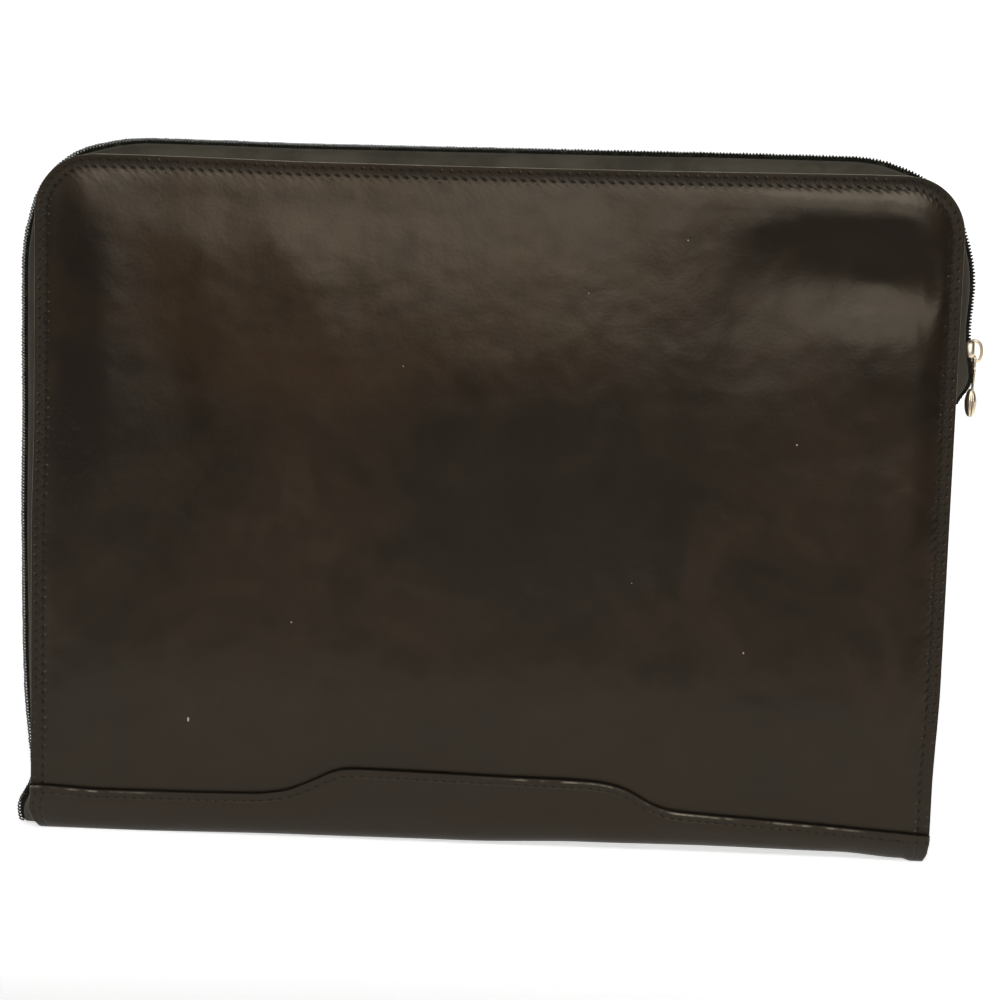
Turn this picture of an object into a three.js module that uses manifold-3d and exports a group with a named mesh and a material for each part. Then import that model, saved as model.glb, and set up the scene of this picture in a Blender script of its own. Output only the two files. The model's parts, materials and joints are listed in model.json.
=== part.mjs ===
// A slim zip-round document case in dark leather, standing on its folded base.
// X runs along the width, Y from the front (negative) to the back and Z up from the surface that it stands on.
// The origin is on that surface, under the middle of the whole part. Lengths are in millimetres.
import * as THREE from "three";
import { mergeVertices } from "three/addons/utils/BufferGeometryUtils.js";
import Module from "manifold-3d";

// The two panels: a flat stitched margin, then a padded middle that stands proud of it.
const PANEL_WIDTH = 366;
const PANEL_HEIGHT = 275;
const PANEL_CORNER = 23;
const PANEL_LEATHER = 1.8;
const EDGE_DEPTH = 26; // from the front margin's outer face to the back one's
const MARGIN = 7.5;
const SHOULDER = 11; // width of the slope between the margin and the padding
const CROWN = 3;

// The folded base and the band that wraps it.
const FOLD_HEIGHT = 15; // below this the faces curve under
const REST_WIDTH = 16; // the strip that weight has pressed flat
const BASE_ARCH = 3;
const BAND_LEATHER = 1.6;
const BAND_SIDE_HEIGHT = 15.5;
const BAND_MIDDLE_HEIGHT = 27.5;
const BAND_MIDDLE_LENGTH = 106;
const BAND_STEP_LENGTH = 27;
const BAND_LAP = 4.5; // how far the panels reach down behind the band

// The gusset strips that carry the zip.
const GUSSET_LEATHER = 1.2;
const GUSSET_LAP = 6;
const ZIP_SLOT = 9.8; // between the edges of the two strips
const ZIP_CORNER = 43; // from a panel's side to the centre of the zip's own corner
const ZIP_RISE = 7.5; // the coil's crest above the panel's edge, along the top

// The zip.
const TAPE_THICKNESS = 0.7;
const TAPE_FROM = 0.65; // share of the strip's visible curve past which the tape is sewn under it
const COIL_WIDTH = 5.4;
const COIL_HEIGHT = 1.9;
const COIL_SHOWN = 2; // the crest above the strips' edges
const TAIL_COIL_WIDTH = 2;
const TAPE_DIP = 1; // how far the tape falls away across the slider's width

// The slider and its puller.
const SLIDER_AT = 0.105; // share of the right run, down from the corner
const SLIDER_LENGTH = 9;
const SLIDER_WIDTH = 8.6;
const SLIDER_NECK_WIDTH = 7;
const SLIDER_PLATE = 0.9;
const SLIDER_POST_WIDTH = 1.1;
const BRIDGE_LENGTH = 8.8;
const BRIDGE_HEIGHT = 3.9;
const BRIDGE_BAR = 1.25;
const BRIDGE_WIDTH = 2.4;
const PULLER_LENGTH = 23.6;
const PULLER_THICKNESS = 1.4;
const PULLER_EYE_WIDTH = 5.6;
const PULLER_EYE_BAR = 1.15;
const PULLER_STEM_WIDTH = 3.2;
const DROP_WIDTH = 8.4;
const DROP_LENGTH = 10.6;
const DROP_THICKNESS = 6;
const DROP_GROOVE = 0.5;

// The pleat that closes the right side below the zip.
const PLEAT_LEATHER = 1.1;
const PLEAT_DEPTH = 13;
const PLEAT_NOSE = 2.8; // width of the turned edge along each panel

const SEAM_GAP = 0.4; // between pieces sewn or laid face to face
const RUNNING_GAP = 0.35; // round the coil in the slider

// The zip's line, one row for each section. at is the share of that straight run, in the order in which the
// zip runs: up the left side, along the top and down the right. rise is the share of ZIP_RISE.
const ZIP_LINE = [
  { run: "left", at: 0.013, rise: 0.56 },
  { run: "left", at: 0.024, rise: 0.8 },
  { run: "left", at: 0.036, rise: 0.92 },
  { run: "left", at: 0.048, rise: 0.8 },
  { run: "left", at: 0.06, rise: 0.5 },
  { run: "left", at: 0.075, rise: 0.26 },
  { run: "left", at: 0.12, rise: 0.24 },
  { run: "left", at: 0.17, rise: 0.4 },
  { run: "left", at: 0.23, rise: 0.55 },
  { run: "left", at: 0.32, rise: 0.66 },
  { run: "left", at: 0.5, rise: 0.76 },
  { run: "left", at: 0.68, rise: 0.86 },
  { run: "left", at: 0.84, rise: 0.92 },
  { run: "left", at: 1, rise: 0.84 },
  { run: "top", at: 0, rise: 0.82 },
  { run: "top", at: 0.2, rise: 0.92 },
  { run: "top", at: 0.5, rise: 1.02 },
  { run: "top", at: 0.8, rise: 1.06 },
  { run: "top", at: 1, rise: 0.96 },
  { run: "right", at: 0, rise: 0.83 },
  { run: "right", at: 0.07, rise: 0.7 },
  { run: "right", at: 0.145, rise: 0.8 },
  { run: "right", at: 0.164, rise: 0.74 },
  { run: "right", at: 0.184, rise: 0.42 },
  { run: "right", at: 0.197, rise: 0.12 },
];
const ZIP_CORNER_SECTIONS = 8;
const RIGHT_CORNER_BOW = 2.4; // how far the zip bows out of its line in the right corner

// The base line from the left end to the right one: lift is the share of BASE_ARCH.
const BASE_LINE = [
  { along: 0, lift: 0 },
  { along: 0.1, lift: 0 },
  { along: 0.3, lift: 0.3 },
  { along: 0.48, lift: 0.4 },
  { along: 0.62, lift: 0.85 },
  { along: 0.75, lift: 1 },
  { along: 0.9, lift: 0.88 },
  { along: 0.97, lift: 0.35 },
  { along: 0.985, lift: 0 },
  { along: 1, lift: 0 },
];

// Soft dents of the front panel: centre and reach as shares of its half width and height, depth of CROWN.
const DENTS = [
  { across: 0.72, up: 0.86, wide: 0.3, tall: 0.075, deep: 0.5 },
  { across: 0.42, up: 0.86, wide: 0.12, tall: 0.12, deep: -0.22 },
  { across: -0.8, up: 0.68, wide: 0.07, tall: 0.24, deep: 0.3 },
  { across: -0.42, up: 0.87, wide: 0.16, tall: 0.08, deep: 0.25 },
  { across: 0.1, up: 0.5, wide: 0.45, tall: 0.22, deep: 0.22 },
];

const HALF_WIDTH = PANEL_WIDTH / 2;
const HALF_EDGE = EDGE_DEPTH / 2;
const REST_HALF = REST_WIDTH / 2;
const BAND_STACK = SEAM_GAP + BAND_LEATHER;
const TAPE_EDGE = SLIDER_POST_WIDTH / 2 + SEAM_GAP; // from the middle of the zip
const SIDE_RUN = PANEL_HEIGHT - ZIP_CORNER;
const TOP_RUN = PANEL_WIDTH - 2 * ZIP_CORNER;

// The zip's levels, measured outwards from its crest.
const LEATHER_LEVEL = -COIL_SHOWN;
const COIL_BASE_LEVEL = -COIL_HEIGHT;
const TAPE_LEVEL = COIL_BASE_LEVEL - SEAM_GAP;

const looks = {
  panel: new THREE.MeshStandardMaterial({ color: 0x2e2621, roughness: 0.42, metalness: 0 }),
  band: new THREE.MeshStandardMaterial({ color: 0x31281f, roughness: 0.45, metalness: 0 }),
  gusset: new THREE.MeshStandardMaterial({ color: 0x34302a, roughness: 0.55, metalness: 0 }),
  tape: new THREE.MeshStandardMaterial({ color: 0x14130f, roughness: 0.9, metalness: 0 }),
  coil: new THREE.MeshStandardMaterial({ color: 0x0f0f0c, roughness: 0.4, metalness: 0 }),
  brass: new THREE.MeshStandardMaterial({ color: 0xc9ad76, roughness: 0.25, metalness: 1 }),
};

const wasm = await Module();
wasm.setup();

const smooth = (t) => {
  const clamped = Math.min(1, Math.max(0, t));
  return clamped * clamped * (3 - 2 * clamped);
};
const mix = (from, to, t) => from + (to - from) * t;

// A table's column at a place between two of its rows, eased between them.
function read(table, key, column, place) {
  const next = table.findIndex((row) => row[key] >= place);
  if (next <= 0) return table.at(next === 0 ? 0 : -1)[column];
  const before = table[next - 1];
  const after = table[next];
  const t = (place - before[key]) / (after[key] - before[key]);
  return mix(before[column], after[column], smooth(t));
}

// How far the base line is above the resting surface.
const baseLift = (x) => BASE_ARCH * read(BASE_LINE, "along", "lift", (x + HALF_WIDTH) / PANEL_WIDTH);

// Height of the band's upper edge: low at the sides, stepping up to its middle.
function bandEdge(x) {
  const past = (Math.abs(x) - BAND_MIDDLE_LENGTH / 2) / BAND_STEP_LENGTH;
  return mix(BAND_MIDDLE_HEIGHT, BAND_SIDE_HEIGHT, smooth(past));
}

// Distance of a point inside the panel from its sides and its rounded top.
function distanceToEdge(x, z) {
  const overSide = Math.abs(x) - (HALF_WIDTH - PANEL_CORNER);
  const overTop = z - (PANEL_HEIGHT - PANEL_CORNER);
  if (overSide > 0 && overTop > 0) return PANEL_CORNER - Math.hypot(overSide, overTop);
  return Math.min(HALF_WIDTH - Math.abs(x), PANEL_HEIGHT - z);
}

function dentAt(x, z) {
  return DENTS.reduce((sum, dent) => {
    const across = (x / HALF_WIDTH - dent.across) / dent.wide;
    const up = (z / PANEL_HEIGHT - dent.up) / dent.tall;
    return sum + dent.deep * Math.exp(-(across * across + up * up));
  }, 0);
}

// How far the padding stands proud of the margin.
function crownAt(x, z, dented) {
  const rise = smooth((distanceToEdge(x, z) - MARGIN) / SHOULDER);
  return CROWN * rise * (dented ? 1 - dentAt(x, z) : 1);
}

// Half the thickness of the case at a point of its face. skin is what lies on the panel there.
function halfDepth(x, z, crown, skin) {
  const full = HALF_EDGE + crown + skin;
  if (z >= FOLD_HEIGHT) return full;
  const lowest = baseLift(x) + BAND_STACK - skin;
  const down = Math.min(1, (FOLD_HEIGHT - z) / (FOLD_HEIGHT - lowest));
  return mix(REST_HALF, full, Math.sqrt(1 - down * down));
}

// A geometry from points and faces, each face a list of point numbers that turns outwards.
function geometryOf(points, faces) {
  const index = faces.flatMap((face) =>
    face.slice(2).flatMap((corner, i) => [face[0], face[i + 1], corner]),
  );
  const geometry = new THREE.BufferGeometry().setFromPoints(points);
  geometry.setIndex(index);
  geometry.computeVertexNormals();
  return geometry;
}

// A sheet of even thickness. rows is a grid of points on its outer face, and turn is 1 where rows cross
// columns points outwards, or -1 where it points inwards.
function sheet(rows, thickness, turn) {
  const last = rows.length - 1;
  const end = rows[0].length - 1;
  const inner = rows.map((row, i) =>
    row.map((point, j) => {
      const along = rows[Math.min(last, i + 1)][j].clone().sub(rows[Math.max(0, i - 1)][j]);
      const across = row[Math.min(end, j + 1)].clone().sub(row[Math.max(0, j - 1)]);
      const outwards = along.cross(across).normalize().multiplyScalar(turn);
      return point.clone().addScaledVector(outwards, -thickness);
    }),
  );
  const points = [...rows.flat(), ...inner.flat()];
  const outerAt = (i, j) => i * (end + 1) + j;
  const innerAt = (i, j) => rows.length * (end + 1) + outerAt(i, j);
  const faces = [];
  for (let i = 0; i < last; i += 1)
    for (let j = 0; j < end; j += 1) {
      faces.push([outerAt(i, j), outerAt(i + 1, j), outerAt(i + 1, j + 1), outerAt(i, j + 1)]);
      faces.push([innerAt(i, j), innerAt(i, j + 1), innerAt(i + 1, j + 1), innerAt(i + 1, j)]);
    }
  for (let i = 0; i < last; i += 1) {
    faces.push([outerAt(i, 0), innerAt(i, 0), innerAt(i + 1, 0), outerAt(i + 1, 0)]);
    faces.push([outerAt(i, end), outerAt(i + 1, end), innerAt(i + 1, end), innerAt(i, end)]);
  }
  for (let j = 0; j < end; j += 1) {
    faces.push([outerAt(0, j), outerAt(0, j + 1), innerAt(0, j + 1), innerAt(0, j)]);
    faces.push([outerAt(last, j), innerAt(last, j), innerAt(last, j + 1), outerAt(last, j + 1)]);
  }
  return geometryOf(points, turn > 0 ? faces : faces.map((face) => [...face].reverse()));
}

// A bar through closed rings of points, all of one length, that turn anticlockwise seen along the bar's run.
function bar(rings) {
  const size = rings[0].length;
  const faces = [];
  for (let i = 0; i < rings.length - 1; i += 1)
    for (let j = 0; j < size; j += 1) {
      const beside = (j + 1) % size;
      faces.push([
        i * size + j,
        i * size + beside,
        (i + 1) * size + beside,
        (i + 1) * size + j,
      ]);
    }
  const first = rings[0].map((_, j) => size - 1 - j);
  const final = rings[0].map((_, j) => (rings.length - 1) * size + j);
  return geometryOf(rings.flat(), [...faces, first, final]);
}

// manifold-3d's solid for a geometry, and the geometry for a solid.
function solidOf(geometry) {
  const bare = geometry.index ? geometry.toNonIndexed() : geometry.clone();
  bare.deleteAttribute("normal");
  bare.deleteAttribute("uv");
  const merged = mergeVertices(bare, 1e-4);
  return new wasm.Manifold(
    new wasm.Mesh({
      numProp: 3,
      vertProperties: merged.attributes.position.array,
      triVerts: new Uint32Array(merged.index.array),
    }),
  );
}

function geometryFrom(solid) {
  const { vertProperties, triVerts } = solid.getMesh();
  const geometry = new THREE.BufferGeometry();
  geometry.setAttribute("position", new THREE.BufferAttribute(vertProperties, 3));
  geometry.setIndex(new THREE.BufferAttribute(triVerts, 1));
  geometry.computeVertexNormals();
  return geometry;
}

const block = (width, depth, height, x = 0, y = 0, z = 0) =>
  solidOf(new THREE.BoxGeometry(width, depth, height).translate(x, y, z));

// Columns across a panel: close together over each margin and shoulder, and at the band's steps.
function panelColumns(stepSections) {
  const slope = [0, 0.5, 1].map((t) => t * MARGIN);
  const shoulder = [0.35, 0.7, 1].map((t) => MARGIN + t * SHOULDER);
  const edges = [...slope, ...shoulder].map((inset) => HALF_WIDTH - inset);
  const stepEnd = BAND_MIDDLE_LENGTH / 2 + BAND_STEP_LENGTH;
  const between = [2 / 3, 1 / 3].map((t) => mix(stepEnd, HALF_WIDTH - MARGIN - SHOULDER, t));
  const step = Array.from({ length: stepSections + 1 }, (_, i) =>
    mix(stepEnd, BAND_MIDDLE_LENGTH / 2, i / stepSections),
  );
  const right = [...edges, ...between, ...step, BAND_MIDDLE_LENGTH / 6];
  return [...right.map((x) => -x), ...right.reverse()];
}

// A panel: side is -1 for the front and 1 for the back.
function panel(side, dented) {
  const arcSections = 6;
  const lowerSections = [0, 0.04, 0.16, 0.3, 0.44, 0.58, 0.7, 0.8, 0.9];
  const rows = panelColumns(3).map((column) => {
    const bottom = bandEdge(column) - BAND_LAP;
    const straightTop = PANEL_HEIGHT - PANEL_CORNER;
    const lower = lowerSections.map((t) => [column, mix(bottom, straightTop, t)]);
    const upper = Array.from({ length: arcSections + 1 }, (_, i) => {
      const angle = (i / arcSections) * (Math.PI / 2);
      const reach = HALF_WIDTH - PANEL_CORNER * (1 - Math.cos(angle));
      return [(column / HALF_WIDTH) * reach, straightTop + PANEL_CORNER * Math.sin(angle)];
    });
    return [...lower, ...upper].map(([x, z]) => {
      const depth = halfDepth(x, z, crownAt(x, z, dented), 0);
      return new THREE.Vector3(x, side * depth, z);
    });
  });
  return sheet(rows, PANEL_LEATHER, -side);
}

// The band: down the front from its edge, under the base and up the back.
function band() {
  const foldSections = 4;
  const rows = panelColumns(5).map((x) => {
    const edge = bandEdge(x);
    const lift = baseLift(x);
    const heights = [edge, mix(edge, FOLD_HEIGHT, 0.5), FOLD_HEIGHT];
    const straight = heights.map((z) => [halfDepth(x, z, crownAt(x, z, false), BAND_STACK), z]);
    const full = straight.at(-1)[0];
    const fold = Array.from({ length: foldSections }, (_, i) => {
      const angle = ((i + 1) / foldSections) * (Math.PI / 2);
      return [mix(REST_HALF, full, Math.cos(angle)), mix(FOLD_HEIGHT, lift, Math.sin(angle))];
    });
    const front = [...straight, ...fold].map(([depth, z]) => new THREE.Vector3(x, -depth, z));
    const back = [...front].reverse().map(({ y, z }) => new THREE.Vector3(x, -y, z));
    return [...front, ...back];
  });
  return sheet(rows, BAND_LEATHER, -1);
}

// Distance from the zip corner's centre to the panel's outline, in a direction.
function reachToOutline(angle) {
  const across = Math.cos(angle);
  const up = Math.sin(angle);
  const toSide = ZIP_CORNER / across;
  const toTop = ZIP_CORNER / up;
  const arcStart = ZIP_CORNER - PANEL_CORNER;
  if (toSide * up <= arcStart) return toSide;
  if (toTop * across <= arcStart) return toTop;
  const along = arcStart * (across + up);
  return along + Math.sqrt(along * along - 2 * arcStart * arcStart + PANEL_CORNER * PANEL_CORNER);
}

// A section of the gusset: where it leaves the panel's outline, its outward direction, how far the zip's
// crest is from there and how deep the panel's inner face is.
function station(x, z, outX, outZ, rise) {
  const inner = halfDepth(x, z, 0, 0) - PANEL_LEATHER - SEAM_GAP;
  return { x, z, outX, outZ, rise, inner };
}

function cornerStations(side, fromRise, toRise, bow) {
  const centreX = side * (HALF_WIDTH - ZIP_CORNER);
  return Array.from({ length: ZIP_CORNER_SECTIONS - 1 }, (_, i) => {
    const t = (i + 1) / ZIP_CORNER_SECTIONS;
    const angle = (side < 0 ? t : 1 - t) * (Math.PI / 2);
    const reach = reachToOutline(angle);
    const outX = side * Math.cos(angle);
    const outZ = Math.sin(angle);
    const crest = ZIP_CORNER + mix(fromRise, toRise, t) + bow * Math.sin(Math.PI * t);
    return station(centreX + outX * reach, SIDE_RUN + outZ * reach, outX, outZ, crest - reach);
  });
}

function zipStations() {
  const runs = { left: [], top: [], right: [] };
  for (const { run, at, rise } of ZIP_LINE) {
    const crest = rise * ZIP_RISE;
    if (run === "left") runs.left.push(station(-HALF_WIDTH, at * SIDE_RUN, -1, 0, crest));
    if (run === "top") runs.top.push(station((at - 0.5) * TOP_RUN, PANEL_HEIGHT, 0, 1, crest));
    if (run === "right") runs.right.push(station(HALF_WIDTH, (1 - at) * SIDE_RUN, 1, 0, crest));
  }
  const { left, top, right } = runs;
  return [
    ...left,
    ...cornerStations(-1, left.at(-1).rise, top[0].rise, 0),
    ...top,
    ...cornerStations(1, top.at(-1).rise, right[0].rise, RIGHT_CORNER_BOW),
    ...right,
  ];
}

const stations = zipStations();
const sliderHeight = (1 - SLIDER_AT) * SIDE_RUN;
const sliderRise = ZIP_LINE.find(({ run, at }) => run === "right" && at > 0).rise * ZIP_RISE;

// The point of a section that is out from the panel's outline by some distance, at a depth.
const at = ({ x, z, outX, outZ }, out, y) => new THREE.Vector3(x + outX * out, y, z + outZ * out);

// The strip's visible curve, from where it bends at the panel's edge to its own edge beside the coil.
function stripCurve({ rise, inner }) {
  const bend = -(GUSSET_LEATHER * 2) / 3;
  const edge = rise + LEATHER_LEVEL;
  return new THREE.QuadraticBezierCurve(
    new THREE.Vector2(bend, inner),
    new THREE.Vector2(Math.max(0.6 * edge, bend), inner - GUSSET_LEATHER / 2),
    new THREE.Vector2(edge, ZIP_SLOT / 2),
  );
}

function gusset(side) {
  const rows = stations.map((section) => {
    const curve = stripCurve(section);
    const lap = [-GUSSET_LAP, -GUSSET_LAP / 2.5].map((out) => new THREE.Vector2(out, section.inner));
    const shown = [0, 0.3, TAPE_FROM, 1].map((t) => curve.getPoint(t));
    return [...lap, ...shown].map(({ x: out, y: depth }) => at(section, out, side * depth));
  });
  return sheet(rows, GUSSET_LEATHER, -side);
}

// A half of the zip's tape: sewn under the strip, then up to the coil.
function tape(side) {
  const under = GUSSET_LEATHER + SEAM_GAP;
  const rows = stations.map((section) => {
    const curve = stripCurve(section);
    const sewn = [TAPE_FROM, 1].map((t) => {
      const point = curve.getPoint(t);
      const slope = curve.getTangent(t);
      return [point.x + under * slope.y, point.y - under * slope.x];
    });
    const level = section.rise + TAPE_LEVEL;
    const bare = [COIL_WIDTH / 2, TAPE_EDGE].map((depth) => [level, depth]);
    return [...sewn, ...bare].map(([out, depth]) => at(section, out, side * depth));
  });
  return sheet(rows, TAPE_THICKNESS, -side);
}

// A row of coil along some sections, with a domed top.
function coil(sections, centre, width) {
  const profile = [
    [-1, 0],
    [1, 0],
    [0.8, 0.7],
    [0.35, 1],
    [-0.35, 1],
    [-0.8, 0.7],
  ];
  return bar(
    sections.map((section) =>
      profile.map(([across, up]) =>
        at(
          section,
          section.rise + COIL_BASE_LEVEL + up * COIL_HEIGHT,
          centre + (across * width) / 2,
        ),
      ),
    ),
  );
}

// The sections on one side of a height on the right run, with one more cut in at that height.
function cutAt(height, before) {
  const cut = station(HALF_WIDTH, height, 1, 0, sliderRise);
  const isBefore = ({ outX, z }) => !(outX === 1 && z < height + 0.5);
  const isAfter = ({ outX, z }) => outX === 1 && z < height - 0.5;
  return before ? [...stations.filter(isBefore), cut] : [cut, ...stations.filter(isAfter)];
}

// The slider, with its tunnel round the coil, about the zip's crest at its own middle.
function slider() {
  const tunnelTop = RUNNING_GAP;
  const tapeTop = TAPE_LEVEL + RUNNING_GAP;
  const tapeBottom = TAPE_LEVEL - TAPE_THICKNESS - TAPE_DIP - RUNNING_GAP;
  const top = tunnelTop + SLIDER_PLATE;
  const bottom = tapeBottom - SLIDER_PLATE;
  const half = SLIDER_LENGTH / 2;
  const outline = new THREE.Shape();
  outline.moveTo(-SLIDER_NECK_WIDTH / 2, half * 0.7);
  outline.quadraticCurveTo(-SLIDER_NECK_WIDTH / 2, half, 0, half);
  outline.quadraticCurveTo(SLIDER_NECK_WIDTH / 2, half, SLIDER_NECK_WIDTH / 2, half * 0.7);
  outline.lineTo(SLIDER_WIDTH / 2, -half * 0.35);
  outline.lineTo(SLIDER_WIDTH / 2, -half * 0.8);
  outline.quadraticCurveTo(SLIDER_WIDTH / 2, -half, SLIDER_WIDTH / 4, -half);
  outline.lineTo(0, -half * 0.82);
  outline.lineTo(-SLIDER_WIDTH / 4, -half);
  outline.quadraticCurveTo(-SLIDER_WIDTH / 2, -half, -SLIDER_WIDTH / 2, -half * 0.8);
  outline.lineTo(-SLIDER_WIDTH / 2, -half * 0.35);
  const body = solidOf(
    new THREE.ExtrudeGeometry(outline, { depth: top - bottom, bevelEnabled: false, curveSegments: 4 })
      .rotateX(Math.PI / 2)
      .rotateZ(Math.PI / 2)
      .translate(bottom, 0, 0),
  );
  const tunnelHeight = tunnelTop - tapeBottom;
  const tunnel = block(
    tunnelHeight,
    COIL_WIDTH + 2 * RUNNING_GAP,
    SLIDER_LENGTH * 2,
    tapeBottom + tunnelHeight / 2,
  );
  const tapeSlot = block(
    tapeTop - tapeBottom,
    SLIDER_WIDTH * 2,
    SLIDER_LENGTH * 2,
    (tapeTop + tapeBottom) / 2,
  );
  const post = block(
    top - bottom,
    SLIDER_POST_WIDTH,
    SLIDER_LENGTH / 4,
    (top + bottom) / 2,
    0,
    -half * 0.62,
  );
  return body.subtract(tunnel).subtract(tapeSlot).add(post).add(bridge(top));
}

// The arched bridge over the slider that holds the puller.
function bridge(plateTop) {
  const half = BRIDGE_LENGTH / 2;
  const foot = -SLIDER_PLATE / 2;
  const arch = new THREE.Shape();
  arch.moveTo(-half, foot);
  arch.lineTo(half, foot);
  arch.lineTo(half, BRIDGE_HEIGHT * 0.5);
  arch.quadraticCurveTo(half, BRIDGE_HEIGHT, half * 0.45, BRIDGE_HEIGHT);
  arch.lineTo(-half * 0.45, BRIDGE_HEIGHT);
  arch.quadraticCurveTo(-half, BRIDGE_HEIGHT, -half, BRIDGE_HEIGHT * 0.5);
  const innerHalf = half - BRIDGE_BAR;
  const innerHeight = BRIDGE_HEIGHT - BRIDGE_BAR;
  const opening = new THREE.Path();
  opening.moveTo(-innerHalf, 0);
  opening.lineTo(-innerHalf, innerHeight * 0.55);
  opening.quadraticCurveTo(-innerHalf, innerHeight, -innerHalf * 0.5, innerHeight);
  opening.lineTo(innerHalf * 0.5, innerHeight);
  opening.quadraticCurveTo(innerHalf, innerHeight, innerHalf, innerHeight * 0.55);
  opening.lineTo(innerHalf, 0);
  arch.holes.push(opening);
  return solidOf(
    new THREE.ExtrudeGeometry(arch, { depth: BRIDGE_WIDTH, bevelEnabled: false, curveSegments: 4 })
      .translate(0, 0, -BRIDGE_WIDTH / 2)
      .rotateX(Math.PI / 2)
      .rotateY(Math.PI / 2)
      .translate(plateTop, 0, 0),
  );
}

// The puller's hinge line, about the zip's crest at the slider's middle: its eye hangs on the bridge's foot.
const puller = {
  hingeOut: RUNNING_GAP + SLIDER_PLATE + (BRIDGE_HEIGHT - BRIDGE_BAR) / 2,
  hingeUp: -(BRIDGE_LENGTH / 2 - BRIDGE_BAR - PULLER_EYE_BAR / 2 - SEAM_GAP),
};

// The puller about its hinge line: an eye, a stem and a domed drop with a groove round its rim.
function pullerSolid() {
  const eyeTop = PULLER_EYE_BAR / 2;
  const eyeHalf = PULLER_EYE_WIDTH / 2;
  const holeHalf = eyeHalf - PULLER_EYE_BAR;
  const holeLength = BRIDGE_HEIGHT;
  const eyeEnd = -eyeTop - holeLength - PULLER_EYE_BAR;
  const shoulder = -eyeTop * 1.5;
  const dropCentre = eyeTop - PULLER_LENGTH + DROP_LENGTH / 2;
  const stemHalf = PULLER_STEM_WIDTH / 2;
  const outline = new THREE.Shape();
  outline.moveTo(-eyeHalf * 0.7, eyeTop);
  outline.lineTo(eyeHalf * 0.7, eyeTop);
  outline.quadraticCurveTo(eyeHalf, eyeTop, eyeHalf, shoulder);
  outline.lineTo(eyeHalf, -holeLength);
  outline.lineTo(stemHalf, eyeEnd);
  outline.lineTo(stemHalf, dropCentre);
  outline.lineTo(-stemHalf, dropCentre);
  outline.lineTo(-stemHalf, eyeEnd);
  outline.lineTo(-eyeHalf, -holeLength);
  outline.lineTo(-eyeHalf, shoulder);
  outline.quadraticCurveTo(-eyeHalf, eyeTop, -eyeHalf * 0.7, eyeTop);
  const hole = new THREE.Path();
  hole.moveTo(-holeHalf, -eyeTop);
  hole.lineTo(-holeHalf, -eyeTop - holeLength);
  hole.lineTo(holeHalf, -eyeTop - holeLength);
  hole.lineTo(holeHalf, -eyeTop);
  outline.holes.push(hole);
  const stem = solidOf(
    new THREE.ExtrudeGeometry(outline, { depth: PULLER_THICKNESS, bevelEnabled: false, curveSegments: 3 })
      .translate(0, 0, -PULLER_THICKNESS / 2)
      .rotateX(Math.PI / 2)
      .rotateZ(Math.PI / 2),
  );
  return stem.add(drop(1).subtract(groove()).translate([0, 0, dropCentre]));
}

const drop = (share) =>
  solidOf(
    new THREE.SphereGeometry(share, 20, 12)
      .rotateZ(Math.PI / 2)
      .scale(DROP_THICKNESS / 2, DROP_WIDTH / 2, DROP_LENGTH / 2),
  );

const groove = () => block(DROP_GROOVE, DROP_WIDTH * 2, DROP_LENGTH * 2).subtract(drop(0.9));

// The pleat: turned over behind the front panel's edge, folded in to the middle, and the same to the back.
function pleat() {
  const top = Math.min(...stations.filter(({ outX }) => outX === 1).map(({ z }) => z)) - 2;
  const bottom = BAND_STACK + RUNNING_GAP + BAND_LEATHER;
  const heights = [0, 0.02, 0.045, 0.07, 0.3, 0.65, 1].map((t) => mix(bottom, top, t));
  const rows = heights.map((z) => {
    const inner = station(HALF_WIDTH, z, 1, 0, 0).inner;
    const depthOf = (share) => inner - share * PLEAT_NOSE;
    const front = [
      [HALF_WIDTH - GUSSET_LAP, depthOf(0)],
      [HALF_WIDTH - PLEAT_NOSE, depthOf(0)],
      [HALF_WIDTH - PLEAT_NOSE / 2, depthOf(0.15)],
      [HALF_WIDTH - PLEAT_NOSE / 3, depthOf(0.5)],
      [HALF_WIDTH - PLEAT_NOSE / 2, depthOf(0.9)],
      [HALF_WIDTH - PLEAT_DEPTH * 0.55, inner * 0.42],
      [HALF_WIDTH - PLEAT_DEPTH * 0.93, inner * 0.08],
    ].map(([x, depth]) => new THREE.Vector3(x, -depth, z));
    const fold = new THREE.Vector3(HALF_WIDTH - PLEAT_DEPTH, 0, z);
    const back = [...front].reverse().map(({ x, y }) => new THREE.Vector3(x, -y, z));
    return [...front, fold, ...back];
  });
  return sheet(rows, PLEAT_LEATHER, -1);
}

// The case, one mesh for each piece.
const named = (name, geometry, material) => {
  const mesh = new THREE.Mesh(geometry, material);
  mesh.name = name;
  return mesh;
};

const closedEnd = sliderHeight - SLIDER_LENGTH * 0.06;
const tailStart = closedEnd - SEAM_GAP;
const tailOffset = SLIDER_POST_WIDTH / 2 + RUNNING_GAP + TAIL_COIL_WIDTH / 2;

const leather = new THREE.Group();
leather.add(
  named("front_panel", panel(-1, true), looks.panel),
  named("back_panel", panel(1, false), looks.panel),
  named("base_band", band(), looks.band),
  named("front_gusset", gusset(-1), looks.gusset),
  named("back_gusset", gusset(1), looks.gusset),
  named("side_pleat", pleat(), looks.gusset),
);

const zip = new THREE.Group();
zip.add(
  named("zip_tape_front", tape(-1), looks.tape),
  named("zip_tape_back", tape(1), looks.tape),
  named("zip_coil", coil(cutAt(closedEnd, true), 0, COIL_WIDTH), looks.coil),
  named("zip_tail_front", coil(cutAt(tailStart, false), -tailOffset, TAIL_COIL_WIDTH), looks.coil),
  named("zip_tail_back", coil(cutAt(tailStart, false), tailOffset, TAIL_COIL_WIDTH), looks.coil),
);

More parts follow.
